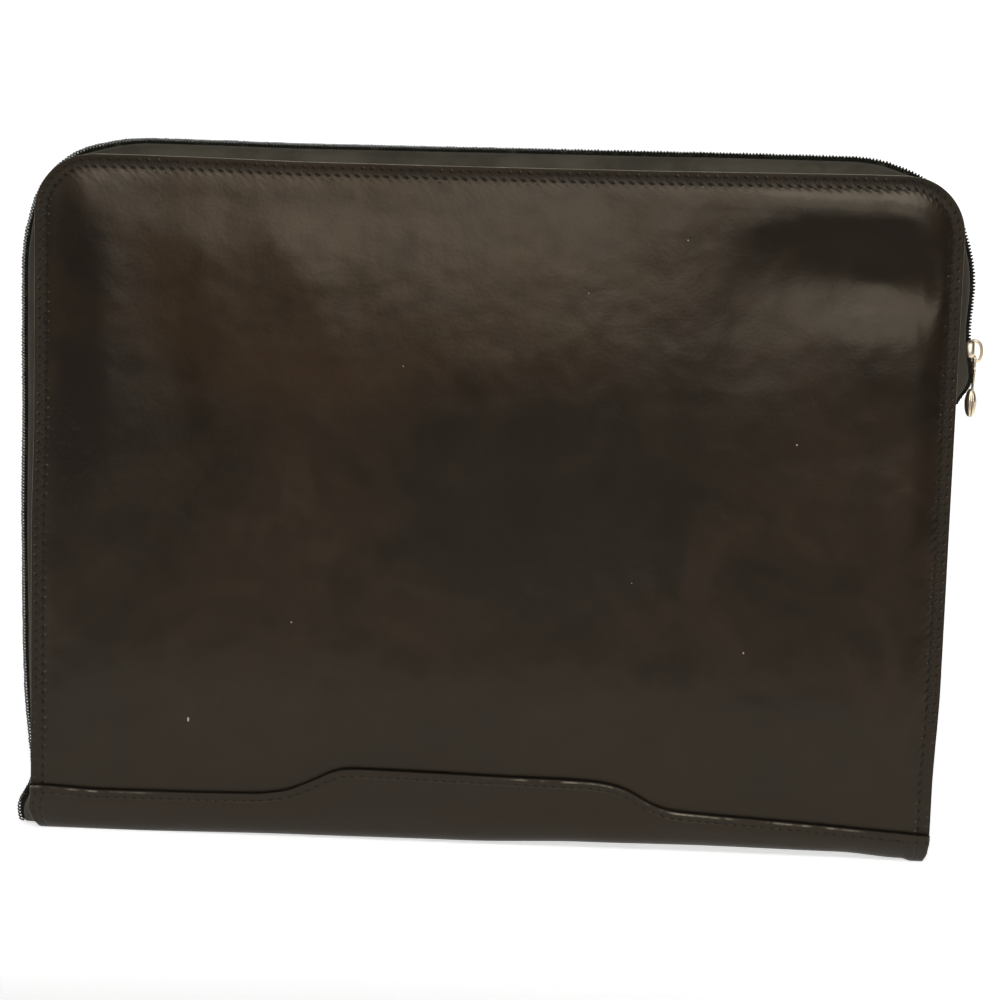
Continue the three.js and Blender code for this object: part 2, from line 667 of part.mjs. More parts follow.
const runner = new THREE.Group();
runner.position.set(HALF_WIDTH + sliderRise, 0, sliderHeight);
const pullerMesh = named("zip_puller", geometryFrom(pullerSolid()), looks.brass);
pullerMesh.position.set(puller.hingeOut, 0, puller.hingeUp);
runner.add(named("zip_slider", geometryFrom(slider()), looks.brass), pullerMesh);

const documentCase = new THREE.Group();
documentCase.add(leather, zip, runner);
documentCase.updateMatrixWorld(true);
const box = new THREE.Box3().setFromObject(documentCase, true);
documentCase.position.set(-(box.min.x + box.max.x) / 2, -(box.min.y + box.max.y) / 2, -box.min.z);

export default documentCase;
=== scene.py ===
"""A leather document case: the finish of its leather, stitches, zip and brass over the construction."""
import json
from math import cos, pi, radians, sin, tan

import bmesh
import bpy
import numpy as np
from mathutils import Matrix, Vector


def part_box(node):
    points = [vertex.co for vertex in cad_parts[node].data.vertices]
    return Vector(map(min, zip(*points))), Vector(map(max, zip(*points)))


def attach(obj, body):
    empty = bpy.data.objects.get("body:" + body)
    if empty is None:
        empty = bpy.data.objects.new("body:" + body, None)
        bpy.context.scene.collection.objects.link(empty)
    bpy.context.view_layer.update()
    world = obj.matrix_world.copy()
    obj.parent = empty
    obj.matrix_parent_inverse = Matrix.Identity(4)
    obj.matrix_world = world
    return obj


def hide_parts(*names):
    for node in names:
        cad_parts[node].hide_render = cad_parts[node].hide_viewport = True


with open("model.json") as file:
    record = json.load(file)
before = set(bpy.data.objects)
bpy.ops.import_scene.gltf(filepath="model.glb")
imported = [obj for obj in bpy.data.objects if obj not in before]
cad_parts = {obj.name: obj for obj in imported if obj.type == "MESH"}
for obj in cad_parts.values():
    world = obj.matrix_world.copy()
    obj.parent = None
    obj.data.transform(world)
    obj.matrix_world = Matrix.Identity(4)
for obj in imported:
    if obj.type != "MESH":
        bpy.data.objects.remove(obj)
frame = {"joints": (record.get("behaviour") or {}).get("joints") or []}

bl_info = {
    "name": "Leather Document Case",
    "version": (1, 0, 0),
    "blender": (4, 5, 0),
    "location": "View3D > Sidebar > Case",
    "description": "Makes a slim document case with stitched leather panels and a coil zip",
    "category": "Add Mesh",
}

MM = 0.001

# The construction's own sizes. x runs from the middle of the panels, and CENTRE is where that middle is.
PANEL_LOW, PANEL_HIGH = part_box("front_panel")
CENTRE = (PANEL_LOW[0] + PANEL_HIGH[0]) / 2
HALF_WIDTH = (PANEL_HIGH[0] - PANEL_LOW[0]) / 2
PANEL_HEIGHT = PANEL_HIGH[2]
PANEL_CORNER = 23 * MM
PANEL_LEATHER = 1.8 * MM
HALF_EDGE = 13 * MM
CROWN = 3 * MM
FOLD_HEIGHT = 15 * MM
REST_HALF = 8 * MM
BASE_ARCH = 3 * MM
SEAM_GAP = 0.4 * MM
BAND_LEATHER = 1.6 * MM
BAND_STACK = SEAM_GAP + BAND_LEATHER
BAND_MIDDLE_LENGTH = 106 * MM
BAND_STEP_LENGTH = 27 * MM
BAND_LAP = 4.5 * MM
THREAD_LOW = 58 * MM  # where the zigzag of thread begins
GUSSET_LEATHER = 1.2 * MM
GUSSET_LAP = 6 * MM
ZIP_SLOT = 9.8 * MM
ZIP_CORNER = 43 * MM
ZIP_RISE = 7.5 * MM
TAPE_THICKNESS = 0.7 * MM
TAPE_FROM = 0.6
TAPE_EDGE = 0.95 * MM
COIL_WIDTH = 5.4 * MM
COIL_HEIGHT = 1.9 * MM
COIL_SHOWN = {"top": 1.6 * MM, "left": 2.9 * MM, "right": 2.0 * MM}  # from the crest to the strip's edge
COIL_BASE = -COIL_HEIGHT
TURN_DROP = 1.4 * MM  # how much lower the middle of every second turn of the closed coil lies
TURN_UNEVENNESS = 0.3
TAIL_OFFSET = 1.9 * MM
TAIL_WIDTH = 2 * MM
PLEAT_LEATHER = 1.1 * MM
PLEAT_DEPTH = 13 * MM
PLEAT_NOSE = 2.8 * MM
SLIDER_LOW, SLIDER_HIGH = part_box("zip_slider")
SLIDER_HEIGHT = (SLIDER_LOW[2] + SLIDER_HIGH[2]) / 2
HINGE = Vector(frame["joints"][0]["pos_m"])
SIDE_RUN = PANEL_HEIGHT - ZIP_CORNER
TOP_RUN = 2 * (HALF_WIDTH - ZIP_CORNER)

# The seam's shape over the panel's edge: a flat margin, pressed down by its thread, then the padding, which
# rises steeply beside the thread and eases into a face that bulges a little. It is flat at the base.
PAD_START = 5.0 * MM
PAD_SLOPE = 13 * MM
BULGE = 2.2 * MM
PAD_LOW = 14 * MM
PAD_HIGH = 80 * MM
PRESS_AT = 3.3 * MM
PRESS_WIDTH = 1.6 * MM
PRESS_DEPTH = 0.25 * MM
HOLLOW_EASE = 11 * MM  # from the padding's start to where a hollow has its whole depth

# How long the front's slope is, as a share of PAD_SLOPE, from the left side to the right.
SLOPE_LINE = [(-1, 1), (-0.9, 1.5), (-0.6, 2.6), (-0.3, 3.3), (0.2, 3.1), (0.45, 1.7), (0.7, 0.95), (1, 1)]

# How far the zip's crest stands out of the panel's outline, as a share of ZIP_RISE, along each run.
ZIP_LINE = {
    "left": [
        (0.005, 0.72), (0.012, 1.0), (0.022, 1.16), (0.034, 1.16), (0.045, 0.96), (0.056, 0.5), (0.075, 0.2),
        (0.12, 0.27),
        (0.17, 0.46), (0.23, 0.62), (0.32, 0.73), (0.5, 0.8), (0.68, 0.9), (0.84, 0.95), (1, 0.95),
    ],
    "top": [(0, 0.8), (0.2, 0.86), (0.5, 0.93), (0.8, 0.93), (1, 0.84)],
    "right": [(0, 0.81), (0.07, 0.68), (0.125, 0.86), (0.145, 1.02), (0.16, 0.98), (0.18, 0.58), (0.195, 0.16)],
}
LEFT_CORNER_BOW = 2.5 * MM
RIGHT_CORNER_BOW = 0.2 * MM

# The base line from left to right: the share of the width, and the share of BASE_ARCH that it is lifted.
BASE_LINE = [
    (0, 0), (0.1, 0), (0.3, 0.3), (0.48, 0.4), (0.62, 0.85), (0.75, 1), (0.9, 0.88), (0.97, 0.35),
    (0.985, 0), (1, 0),
]

# The band's edge: millimetres from the middle, and millimetres up.
BAND_EDGE = [
    (-190, 19.4), (-179, 19.4), (-156.6, 18.3), (-117.7, 18.6), (-89.1, 19.2), (-78.6, 20.9),
    (-70.9, 24.2), (-65.2, 27), (-59.2, 30.2), (-52.7, 31.1), (-32, 30.9), (-8.5, 30.5), (7.8, 30.2),
    (32, 30), (45, 29.7), (50.6, 29.1), (58.8, 27.1), (65.4, 23.3), (71.5, 20.2), (77.7, 18.6),
    (86.2, 18), (97.1, 17.4), (137, 15.3), (180.5, 12.4), (190, 12.4),
]
BAND_EASE = 3 * MM

# The band's ends are rounded: millimetres up, and millimetres inwards.
LEFT_END = [(0, 3.4), (1.2, 2.4), (4.5, 0.4), (9.5, -1.1), (15, 0)]
RIGHT_END = [(0, 1.7), (5, 0.5), (10, 0)]
END_REACH = 12 * MM

# The right side leans in towards the base, and the left side out: which side, by how much, and the heights
# where the lean starts and is complete.
LEANS = [(1, 1.2 * MM, 75 * MM, 30 * MM), (-1, 1.0 * MM, 175 * MM, 120 * MM)]

# The top's line: millimetres from the middle, and millimetres up from straight. It eases out below.
TOP_LINE = [
    (-183, 0.1), (-140, 0.3), (-110, 0), (-80, -0.47), (-20, -0.42), (20, -0.2), (60, 0.1), (100, 0.6),
    (140, 1.15), (183, 1.2),
]
TOP_FROM = 190 * MM

# Soft hollows of the front. Each row says where it is, as shares of the half width and height from the middle
# and base, how far it reaches across and up in the same shares, its turn in degrees, and its depth in
# millimetres. Lumps have a negative depth.
HOLLOWS = [
    (0.8, 0.853, 0.19, 0.057, -10, 4.8),
    (0.55, 0.83, 0.14, 0.1, 20, 1.9),
    (0.43, 0.86, 0.07, 0.15, 5, -0.9),
    (0.44, 0.915, 0.07, 0.06, 0, 1.5),
    (0.3, 0.87, 0.09, 0.1, 0, 0.9),
    (-0.84, 0.7, 0.045, 0.2, 0, -0.9),
    (-0.7, 0.72, 0.07, 0.2, 8, 1.1),
    (-0.42, 0.84, 0.07, 0.13, 24, -0.9),
    (-0.5, 0.93, 0.22, 0.035, 0, 0.7),
    (-0.05, 0.72, 0.45, 0.17, -6, -2.6),
    (0.1, 0.48, 0.45, 0.14, 0, 1.4),
    (0.86, 0.62, 0.1, 0.06, -12, 0.6),
    (-0.55, 0.35, 0.25, 0.12, 0, -0.4),
    (-0.2, 0.42, 0.09, 0.06, 20, 0.3),
    (0.35, 0.38, 0.1, 0.05, -15, -0.3),
]


def colour_setting(name, description, default):
    """A colour that can be set, in linear light."""
    return bpy.props.FloatVectorProperty(
        name=name, description=description, default=default, subtype="COLOR", size=3, min=0, max=1)


def length_setting(name, description, millimetres):
    """A length that can be set, given in millimetres."""
    return bpy.props.FloatProperty(
        name=name, description=description, default=millimetres * MM, unit="LENGTH", precision=5, min=0)


class CaseColours(bpy.types.PropertyGroup):
    """The colours of the case."""
    deep: colour_setting("Deep brown", "The leather's darkest patches", (0.0105, 0.0076, 0.0057))
    # This warm brown is also the colour of the painted sheen that the sheen patches lay on the panels.
    warm: colour_setting("Warm brown", "The leather where it is worn warm", (0.028, 0.0152, 0.0072))
    # The colour of the painted shade that darkens the panels towards the base.
    shade_towards_base: colour_setting("Olive brown", "The leather towards the base", (0.0036, 0.0026, 0.0014))
    band: colour_setting("Band brown", "The base band's leather", (0.0095, 0.0064, 0.0037))
    gusset: colour_setting("Gusset grey", "The strips beside the zip", (0.082, 0.073, 0.054))
    cut: colour_setting("Cut edge", "The cut edges of the leather", (0.48, 0.42, 0.33))
    thread: colour_setting("Thread", "The waxed thread", (0.02, 0.0163, 0.012))
    coil: colour_setting("Coil", "The zip's nylon coil", (0.011, 0.0105, 0.0065))
    tape: colour_setting("Tape", "The zip's woven tape", (0.008, 0.0078, 0.0065))
    brass: colour_setting("Brass", "The slider and its puller", (0.9, 0.77, 0.57))


class CaseSizes(bpy.types.PropertyGroup):
    """The sizes of the stitches and of the zip's coil."""
    outer_row: length_setting("Outer row", "From the panel's edge to the outer row of holes", 2.1)
    inner_row: length_setting("Inner row", "From the panel's edge to the inner row of holes", 4.9)
    stitch_pitch: length_setting("Stitch pitch", "Between two holes of one row", 3.85)
    thread_width: length_setting("Thread width", "Across the waxed thread", 0.48)
    band_row: length_setting("Band row", "From the band's edge to its row of stitches", 3.0)
    band_pitch: length_setting("Band pitch", "Between two holes of the band's row", 3.7)
    coil_pitch: length_setting("Coil pitch", "Between two turns of one side of the coil", 1.3)
    coil_wire: length_setting("Coil wire", "Across the coil's wire", 0.62)


def smooth(t):
    """Eases from 0 to 1."""
    t = np.clip(t, 0, 1)
    return t * t * (3 - 2 * t)


def mixed(low, high, t):
    """The value between two values."""
    return low + (high - low) * t


def eased(table, place):
    """A table's second column at a place of its first, eased between its rows."""
    places, values = np.array(table, dtype=float).T
    place = np.clip(place, places[0], places[-1])
    after = np.clip(np.searchsorted(places, place), 1, len(places) - 1)
    span = places[after] - places[after - 1]
    return mixed(values[after - 1], values[after], smooth((place - places[after - 1]) / span))


def base_lift(x):
    """How far the base line is off the surface that the case stands on."""
    return BASE_ARCH * eased(BASE_LINE, (x + HALF_WIDTH) / (2 * HALF_WIDTH))


def band_edge(x):
    """Height of the band's upper edge."""
    near = [np.interp((x + BAND_EASE * step) / MM, *zip(*BAND_EDGE)) for step in (-1, -0.5, 0, 0.5, 1)]
    return sum(near) / len(near) * MM


def end_shift(x, z):
    """How far a point of the band moves along X, so that its ends come out rounded."""
    near = smooth((np.abs(x) - (HALF_WIDTH - END_REACH)) / END_REACH)
    left = eased(LEFT_END, z / MM)
    right = eased(RIGHT_END, z / MM)
    return near * np.where(x < 0, left, -right) * MM


def inset_of(x, z):
    """Distance of a point inside the panel from its sides and rounded top."""
    over_side = np.abs(x) - (HALF_WIDTH - PANEL_CORNER)
    over_top = z - (PANEL_HEIGHT - PANEL_CORNER)
    straight = np.minimum(HALF_WIDTH - np.abs(x), PANEL_HEIGHT - z)
    return np.where((over_side > 0) & (over_top > 0), PANEL_CORNER - np.hypot(over_side, over_top), straight)


def along_of(x, z):
    """Length along the panel's edge, from the base of its left side, to the point nearest to a place."""
    side = PANEL_HEIGHT - PANEL_CORNER
    arc = PANEL_CORNER * pi / 2
    over_side = np.abs(x) - (HALF_WIDTH - PANEL_CORNER)
    over_top = z - side
    turn = np.arctan2(np.maximum(over_top, 0), np.maximum(over_side, 1e-9))
    half_top = HALF_WIDTH - PANEL_CORNER
    corner = side + PANEL_CORNER * turn
    top = side + arc + half_top - np.abs(x)
    beside = np.where(HALF_WIDTH - np.abs(x) < PANEL_HEIGHT - z, z, top)
    half = np.where((over_side > 0) & (over_top > 0), corner, beside)
    total = 2 * (side + arc + half_top)
    return np.where(x < 0, half, total - half)


def padding(x, z, worn):
    """How far the panel's face stands out of the plane of its margin."""
    inset = inset_of(x, z)
    slope = PAD_SLOPE * (eased(SLOPE_LINE, x / HALF_WIDTH) if worn else 1)
    rise = 1 - (1 - np.clip((inset - PAD_START) / slope, 0, 1)) ** 2
    middle = PANEL_HEIGHT / 2
    bulge = (1 - (x / HALF_WIDTH) ** 2) * (1 - ((z - middle) / middle) ** 2)
    height = (CROWN + BULGE * bulge) * rise
    inside = smooth((inset - PAD_START) / HOLLOW_EASE)
    for at_x, at_z, wide, tall, degrees, deep in HOLLOWS if worn else []:
        turn = radians(degrees)
        off_x = x - at_x * HALF_WIDTH
        off_z = z - at_z * PANEL_HEIGHT
        across = (off_x * cos(turn) + off_z * sin(turn)) / (wide * HALF_WIDTH)
        up = (off_z * cos(turn) - off_x * sin(turn)) / (tall * PANEL_HEIGHT)
        height = height - deep * MM * inside * np.exp(-(across ** 2 + up ** 2))
    height = height * smooth((z - PAD_LOW) / (PAD_HIGH - PAD_LOW))
    return height - PRESS_DEPTH * np.exp(-(((inset - PRESS_AT) / PRESS_WIDTH) ** 2))


def half_depth(x, z, height, skin):
    """Half the case's thickness at a place of its face. skin is what lies on the panel there."""
    full = HALF_EDGE + height + skin
    lowest = base_lift(x) + BAND_STACK - skin
    down = np.clip((FOLD_HEIGHT - z) / (FOLD_HEIGHT - lowest), 0, 1)
    return mixed(REST_HALF, full, np.sqrt(1 - down * down))


def panel_depth(x, z, worn):
    """Half the case's thickness on a panel."""
    return half_depth(x, z, padding(x, z, worn), 0)


def placed(points):
    """Points of the case in the frame of the whole part, with its sides and top as uneven as soft leather."""
    x, y, z = np.asarray(points, dtype=float).T
    lift = np.interp(x / MM, *zip(*TOP_LINE)) * MM * smooth((z - TOP_FROM) / (PANEL_HEIGHT - TOP_FROM))
    lean = sum(by * smooth((start - z) / (start - end)) * smooth(side * x / HALF_WIDTH)
               for side, by, start, end in LEANS)
    return np.stack([x - lean + CENTRE, y, z + lift], axis=1)


def new_object(name, mesh):
    """An object in the scene for a mesh."""
    piece = bpy.data.objects.new(name, mesh)
    bpy.context.scene.collection.objects.link(piece)
    return piece


def leather_piece(name, grid, outwards, thickness, looks, edge_map=None, soften=0.3 * MM):
    """A wall from a grid of points on its outer face, with softened rims of the last look.

    outwards is 1 where the grid's rows cross its columns pointing out, or -1. edge_map is a grid of two
    lengths for each point, kept as a UV map.
    """
    rows, columns = grid.shape[:2]
    index = np.arange(rows * columns).reshape(rows, columns)
    quads = np.stack([index[:-1, :-1], index[1:, :-1], index[1:, 1:], index[:-1, 1:]], axis=-1).reshape(-1, 4)
    if outwards < 0:
        quads = quads[:, ::-1]
    mesh = bpy.data.meshes.new(name)
    mesh.from_pydata(placed(grid.reshape(-1, 3)).tolist(), [], quads.tolist())
    mesh.shade_smooth()
    if edge_map is not None:
        layer = mesh.uv_layers.new(name="edge")
        layer.data.foreach_set("uv", edge_map.reshape(-1, 2)[quads.reshape(-1)].ravel())
    for look in looks:
        mesh.materials.append(look)
    piece = new_object(name, mesh)
    wall = piece.modifiers.new("Wall", "SOLIDIFY")
    wall.thickness = thickness
    wall.offset = -1
    wall.use_even_offset = True
    wall.material_offset_rim = len(looks) - 1
    rim = piece.modifiers.new("Soft rim", "BEVEL")
    rim.width = soften
    rim.segments = 3
    rim.limit_method = "ANGLE"
    rim.angle_limit = radians(55)
    rim.material = len(looks) - 1
    return piece


def own_material(piece, look):
    """Gives a piece its one material."""
    piece.data.materials.clear()
    piece.data.materials.append(look)
    return piece


class Value:
    """A socket of a node, which sums can be written with."""

    def __init__(self, wiring, socket):
        self.wiring = wiring
        self.socket = socket

    def _maths(self, operation, *values):
        return self.wiring.node("ShaderNodeMath", {"operation": operation}, dict(enumerate(values)))

    def __add__(self, other):
        return self._maths("ADD", self, other)

    def __radd__(self, other):
        return self._maths("ADD", other, self)

    def __sub__(self, other):
        return self._maths("SUBTRACT", self, other)

    def __rsub__(self, other):
        return self._maths("SUBTRACT", other, self)

    def __mul__(self, other):
        return self._maths("MULTIPLY", self, other)

    def __rmul__(self, other):
        return self._maths("MULTIPLY", other, self)

    def __truediv__(self, other):
        return self._maths("DIVIDE", self, other)

    def __pow__(self, other):
        return self._maths("POWER", self, other)

    def sine(self):
        """The sine, of an angle in radians."""
        return self._maths("SINE", self)

    def fraction(self):
        """What is left past the whole number below."""
        return self._maths("FRACT", self)

    def size(self):
        """The value without its sign."""
        return self._maths("ABSOLUTE", self)

    def limited(self):
        """The value, no lower than 0 and no higher than 1."""
        return self.wiring.node("ShaderNodeClamp", {}, {0: self})

    def step(self, low, high):
        """Eases from 0 at low to 1 at high."""
        return self.wiring.node(
            "ShaderNodeMapRange", {"interpolation_type": "SMOOTHSTEP"}, {0: self, 1: low, 2: high, 3: 0, 4: 1})


class Wiring:
    """Adds nodes to a tree and joins their sockets."""

    def __init__(self, tree):
        self.tree = tree

    def node(self, kind, settings=None, values=None, output=0):
        """A node with its settings, and values or links for its sockets by name or number."""
        node = self.tree.nodes.new(kind)
        for key, setting in (settings or {}).items():
            setattr(node, key, setting)
        for key, value in (values or {}).items():
            self.join(value, node.inputs[key])
        return Value(self, node.outputs[output]) if node.outputs else node

    def join(self, value, socket):
        """Links a value to a socket, or sets the socket to a plain number, colour or vector."""
        if isinstance(value, Value):
            self.tree.links.new(value.socket, socket)
        else:
            socket.default_value = value


class Look(Wiring):
    """A material, and the patterns that leather, thread and metal share."""

    def __init__(self, name):
        self.material = bpy.data.materials.new(name)
        self.material.use_nodes = True
        super().__init__(self.material.node_tree)
        self.shader = next(node for node in self.tree.nodes if node.type == "BSDF_PRINCIPLED")
        self.place = self.node("ShaderNodeTexCoord", output="Object")

    def stretched(self, scale, turn=(0, 0, 0)):
        """The place on the piece, turned and scaled."""
        return self.node("ShaderNodeMapping", {}, {"Vector": self.place, "Rotation": turn, "Scale": scale})

    def noise(self, scale, detail=3, roughness=0.5, place=None, distortion=0):
        """A smooth noise between 0 and 1, whose features are about 1 / scale metres wide."""
        values = {"Vector": place or self.place, "Scale": scale, "Detail": detail,
                  "Roughness": roughness, "Distortion": distortion}
        return self.node("ShaderNodeTexNoise", {}, values)

    def parts(self, vector):
        """The three parts of a vector."""
        split = self.tree.nodes.new("ShaderNodeSeparateXYZ")
        self.join(vector, split.inputs[0])
        return [Value(self, output) for output in split.outputs]

    def edge(self):
        """The length along a piece's edge and the distance inside it."""
        return self.parts(self.node("ShaderNodeUVMap", {"uv_map": "edge"}))[:2]

    def position(self):
        """The three parts of the place on the piece."""
        return self.parts(self.place)

    def blend(self, factor, first, second):
        """A colour between two colours."""
        colours = {key: value if isinstance(value, Value) else (*value, 1)
                   for key, value in {6: first, 7: second}.items()}
        return self.node("ShaderNodeMix", {"data_type": "RGBA"}, {0: factor, **colours}, output=2)

    def finish(self, colour, roughness, height=None, **uniform):
        """Joins the colour, the roughness and a relief in metres, and sets what is the same all over."""
        self.join(colour if isinstance(colour, Value) else (*colour, 1), self.shader.inputs["Base Color"])
        self.join(roughness, self.shader.inputs["Roughness"])
        if height is not None:
            bump = self.node("ShaderNodeBump", {}, {"Height": height, "Distance": 1.0, "Strength": 1.0})
            self.join(bump, self.shader.inputs["Normal"])
        for key, value in uniform.items():
            self.shader.inputs[key.replace("_", " ")].default_value = value
        return self.material


SLIT_SHAPE = 0.45  # a needle slit's width as a share of its length
# The colour of painted shade, in the needle slits and along the band's edge.
PAINTED_SHADE_COLOUR = (0.002, 0.0017, 0.0015)
DUST_COLOUR = (0.5, 0.46, 0.38)


def holes(along, inset, row, phase, pitch, length, slant=0.0):
    """1 in the needle slits of a row, and 0 away from them. They lie at a slant, in degrees, to the row."""
    run = ((along / pitch + phase).fraction() - 0.5) * pitch
    across = inset - row
    tilt = radians(slant)
    lengthwise = (run * cos(tilt) + across * sin(tilt)) / length
    sideways = (across * cos(tilt) - run * sin(tilt)) / (length * SLIT_SHAPE)
    distance = (lengthwise * lengthwise + sideways * sideways) ** 0.5
    return 1 - distance.step(0.45, 1)


def tinted(colour, share):
    """A colour made darker or lighter."""
    return tuple(share * part for part in colour)


def ridge(value, middle, width):
    """1 at the middle of a stretch, falling to 0 at its ends."""
    return 1 - ((value - middle) / width).size().step(0, 1)


def grain(look, strength=1.0):
    """The relief of calf leather: fine pebbles over soft lumps and slow waves."""
    pebbles = look.noise(620, 2, 0.6) * (0.000055 * strength)
    lumps = look.noise(80, 1, 0.5) * (0.00036 * strength)
    waves = look.noise(27, 2, 0.5) * (0.0009 * strength)
    return pebbles + lumps + waves


def hairlines(look, x, z):
    """1 in the short fine wrinkles that run across the leather in patches, most of them near its left side."""
    lines = look.noise(1, 2, 0.5, look.stretched((330, 330, 900), (0, 0.1, 0)), 0.9)
    patches = look.noise(20, 1, 0.5).step(0.42, 0.6)
    left = 1 - x.step(CENTRE - 0.8 * HALF_WIDTH, CENTRE - 0.55 * HALF_WIDTH)
    return lines.step(0.56, 0.68) * patches * (left * 0.85 + 0.15) * z.step(100 * MM, 170 * MM)


def patch(x, z, at_x, at_z, wide, tall):
    """1 at the middle of a soft patch of the face, falling to 0 around it. Places are shares, as in HOLLOWS."""
    across = (x - (CENTRE + at_x * HALF_WIDTH)) / (wide * HALF_WIDTH)
    up = (z - at_z * PANEL_HEIGHT) / (tall * PANEL_HEIGHT)
    return 1 - (across * across + up * up).step(0, 1)


# Painted sheen and shade on the panels: where the face is painted warmer and lighter as if lit, or deeper as if
# in shade. Place and reach as in HOLLOWS, and how much.
SHEEN_AND_SHADE_PATCHES = [
    (-0.46, 0.84, 0.42, 0.24, 0.9),
    (0.0, 0.82, 0.5, 0.2, 0.5),
    (0.12, 0.5, 0.45, 0.24, -0.5),
    (-0.86, 0.45, 0.16, 0.4, -0.35),
    (0.72, 0.91, 0.28, 0.1, -0.4),
]
WARM_SHINE = (1.0, 0.85, 0.65, 1.0)

# Specks of dust on the front: x and z in millimetres from the middle of the base, width and height.
SPECKS = [
    (-119.3, 49.0, 0.45, 1.1), (75.1, 248.7, 0.3, 0.3), (121.0, 169.7, 0.4, 0.4), (103.5, 85.3, 0.35, 0.45),
    (-77.7, 91.2, 0.35, 0.35), (37.0, 227.0, 0.25, 0.3), (-35.0, 196.0, 0.25, 0.25), (58.0, 112.0, 0.25, 0.25),
]


def speck(x, z, at_x, at_z, wide, tall):
    """1 on a speck of dust, given in millimetres."""
    across = (x - (CENTRE + at_x * MM)) / (wide * MM)
    up = (z - at_z * MM) / (tall * MM)
    return 1 - (across * across + up * up).step(0.5, 1)


def panel_calf(look, colours):
    """The panels: mottled dark calf, stitched along the margin."""
    sizes = bpy.context.scene.case_sizes
    along, inset = look.edge()
    x, y, z = look.position()
    mottle = look.noise(22, 3, 0.62, distortion=0.9)
    blotch = look.noise(62, 2, 0.6, distortion=0.6)
    warmth_and_sheen = mottle * 1.7 + blotch * 0.7 - 0.85
    # Each patch paints sheen where its amount is positive, and shade where it is negative.
    for *where, warm in SHEEN_AND_SHADE_PATCHES:
        warmth_and_sheen = warmth_and_sheen + patch(x, z, *where) * warm
    warmth_and_sheen = warmth_and_sheen.limited()
    colour = look.blend(warmth_and_sheen, colours.deep, colours.warm)
    # Painted shade: the face is darkened towards the base.
    low = 1 - (z + mottle * (60 * MM)).step(45 * MM, 145 * MM)
    colour = look.blend(low * 0.75, colour, colours.shade_towards_base)
    margin = 1 - inset.step(5.0 * MM, 7.0 * MM)
    colour = look.blend(margin * 0.5, colour, tinted(colours.deep, 0.7))
    upper = z.step(50 * MM, 62 * MM)
    pits = [
        holes(along, inset, sizes.outer_row, 0.0, sizes.stitch_pitch, 0.95 * MM, 35) * upper,
        holes(along, inset, sizes.inner_row, 0.5, sizes.stitch_pitch, 1.3 * MM, 22),
    ]
    pit = (pits[0] + pits[1]).limited()
    # Painted highlights: short light strokes beside the stitch rows, where the puckered leather catches the
    # light.
    stitch_highlights = (
        holes(along, inset, sizes.outer_row - 0.7 * MM, 0.82, sizes.stitch_pitch, 0.6 * MM, 50)
        + holes(along, inset, sizes.inner_row + 0.9 * MM, 0.3, sizes.stitch_pitch, 0.75 * MM, 50)
    ) * blotch.step(0.4, 0.65)
    colour = look.blend(blotch.step(0.45, 0.7) * 0.45, colour, tinted(colours.deep, 0.55))
    wear = hairlines(look, x, z)
    colour = look.blend(wear * 0.2, colour, (0.07, 0.058, 0.045))
    # Painted shade in the needle slits.
    colour = look.blend(pit * 0.9, colour, PAINTED_SHADE_COLOUR)
    colour = look.blend(stitch_highlights * 0.6, colour, (0.15, 0.125, 0.095))
    dust = sum(speck(x, z, *row) for row in SPECKS)
    front = 1 - y.step(-1 * MM, 1 * MM)
    colour = look.blend(dust * front * 0.8, colour, DUST_COLOUR)
    slanted = along - inset * 0.8
    waves = (slanted * (2 * pi / sizes.stitch_pitch)).sine()
    puckers = waves * ridge(inset, 5.9 * MM, 1.7 * MM) * (blotch * (0.1 * MM))
    spread = look.node("ShaderNodeCombineXYZ", {}, {0: slanted * 190, 1: inset * 70})
    tucks = look.noise(1, 2, 0.6, spread) * ridge(inset, 9 * MM, 7 * MM) * (0.13 * MM)
    height = grain(look, 1.15) + puckers + tucks - pit * (0.3 * MM)
    roughness = 0.18 + mottle * 0.2 + blotch * 0.13 + margin * 0.14 + pit * 0.2
    return look.finish(colour, roughness, height, Specular_IOR_Level=0.37, Specular_Tint=WARM_SHINE)


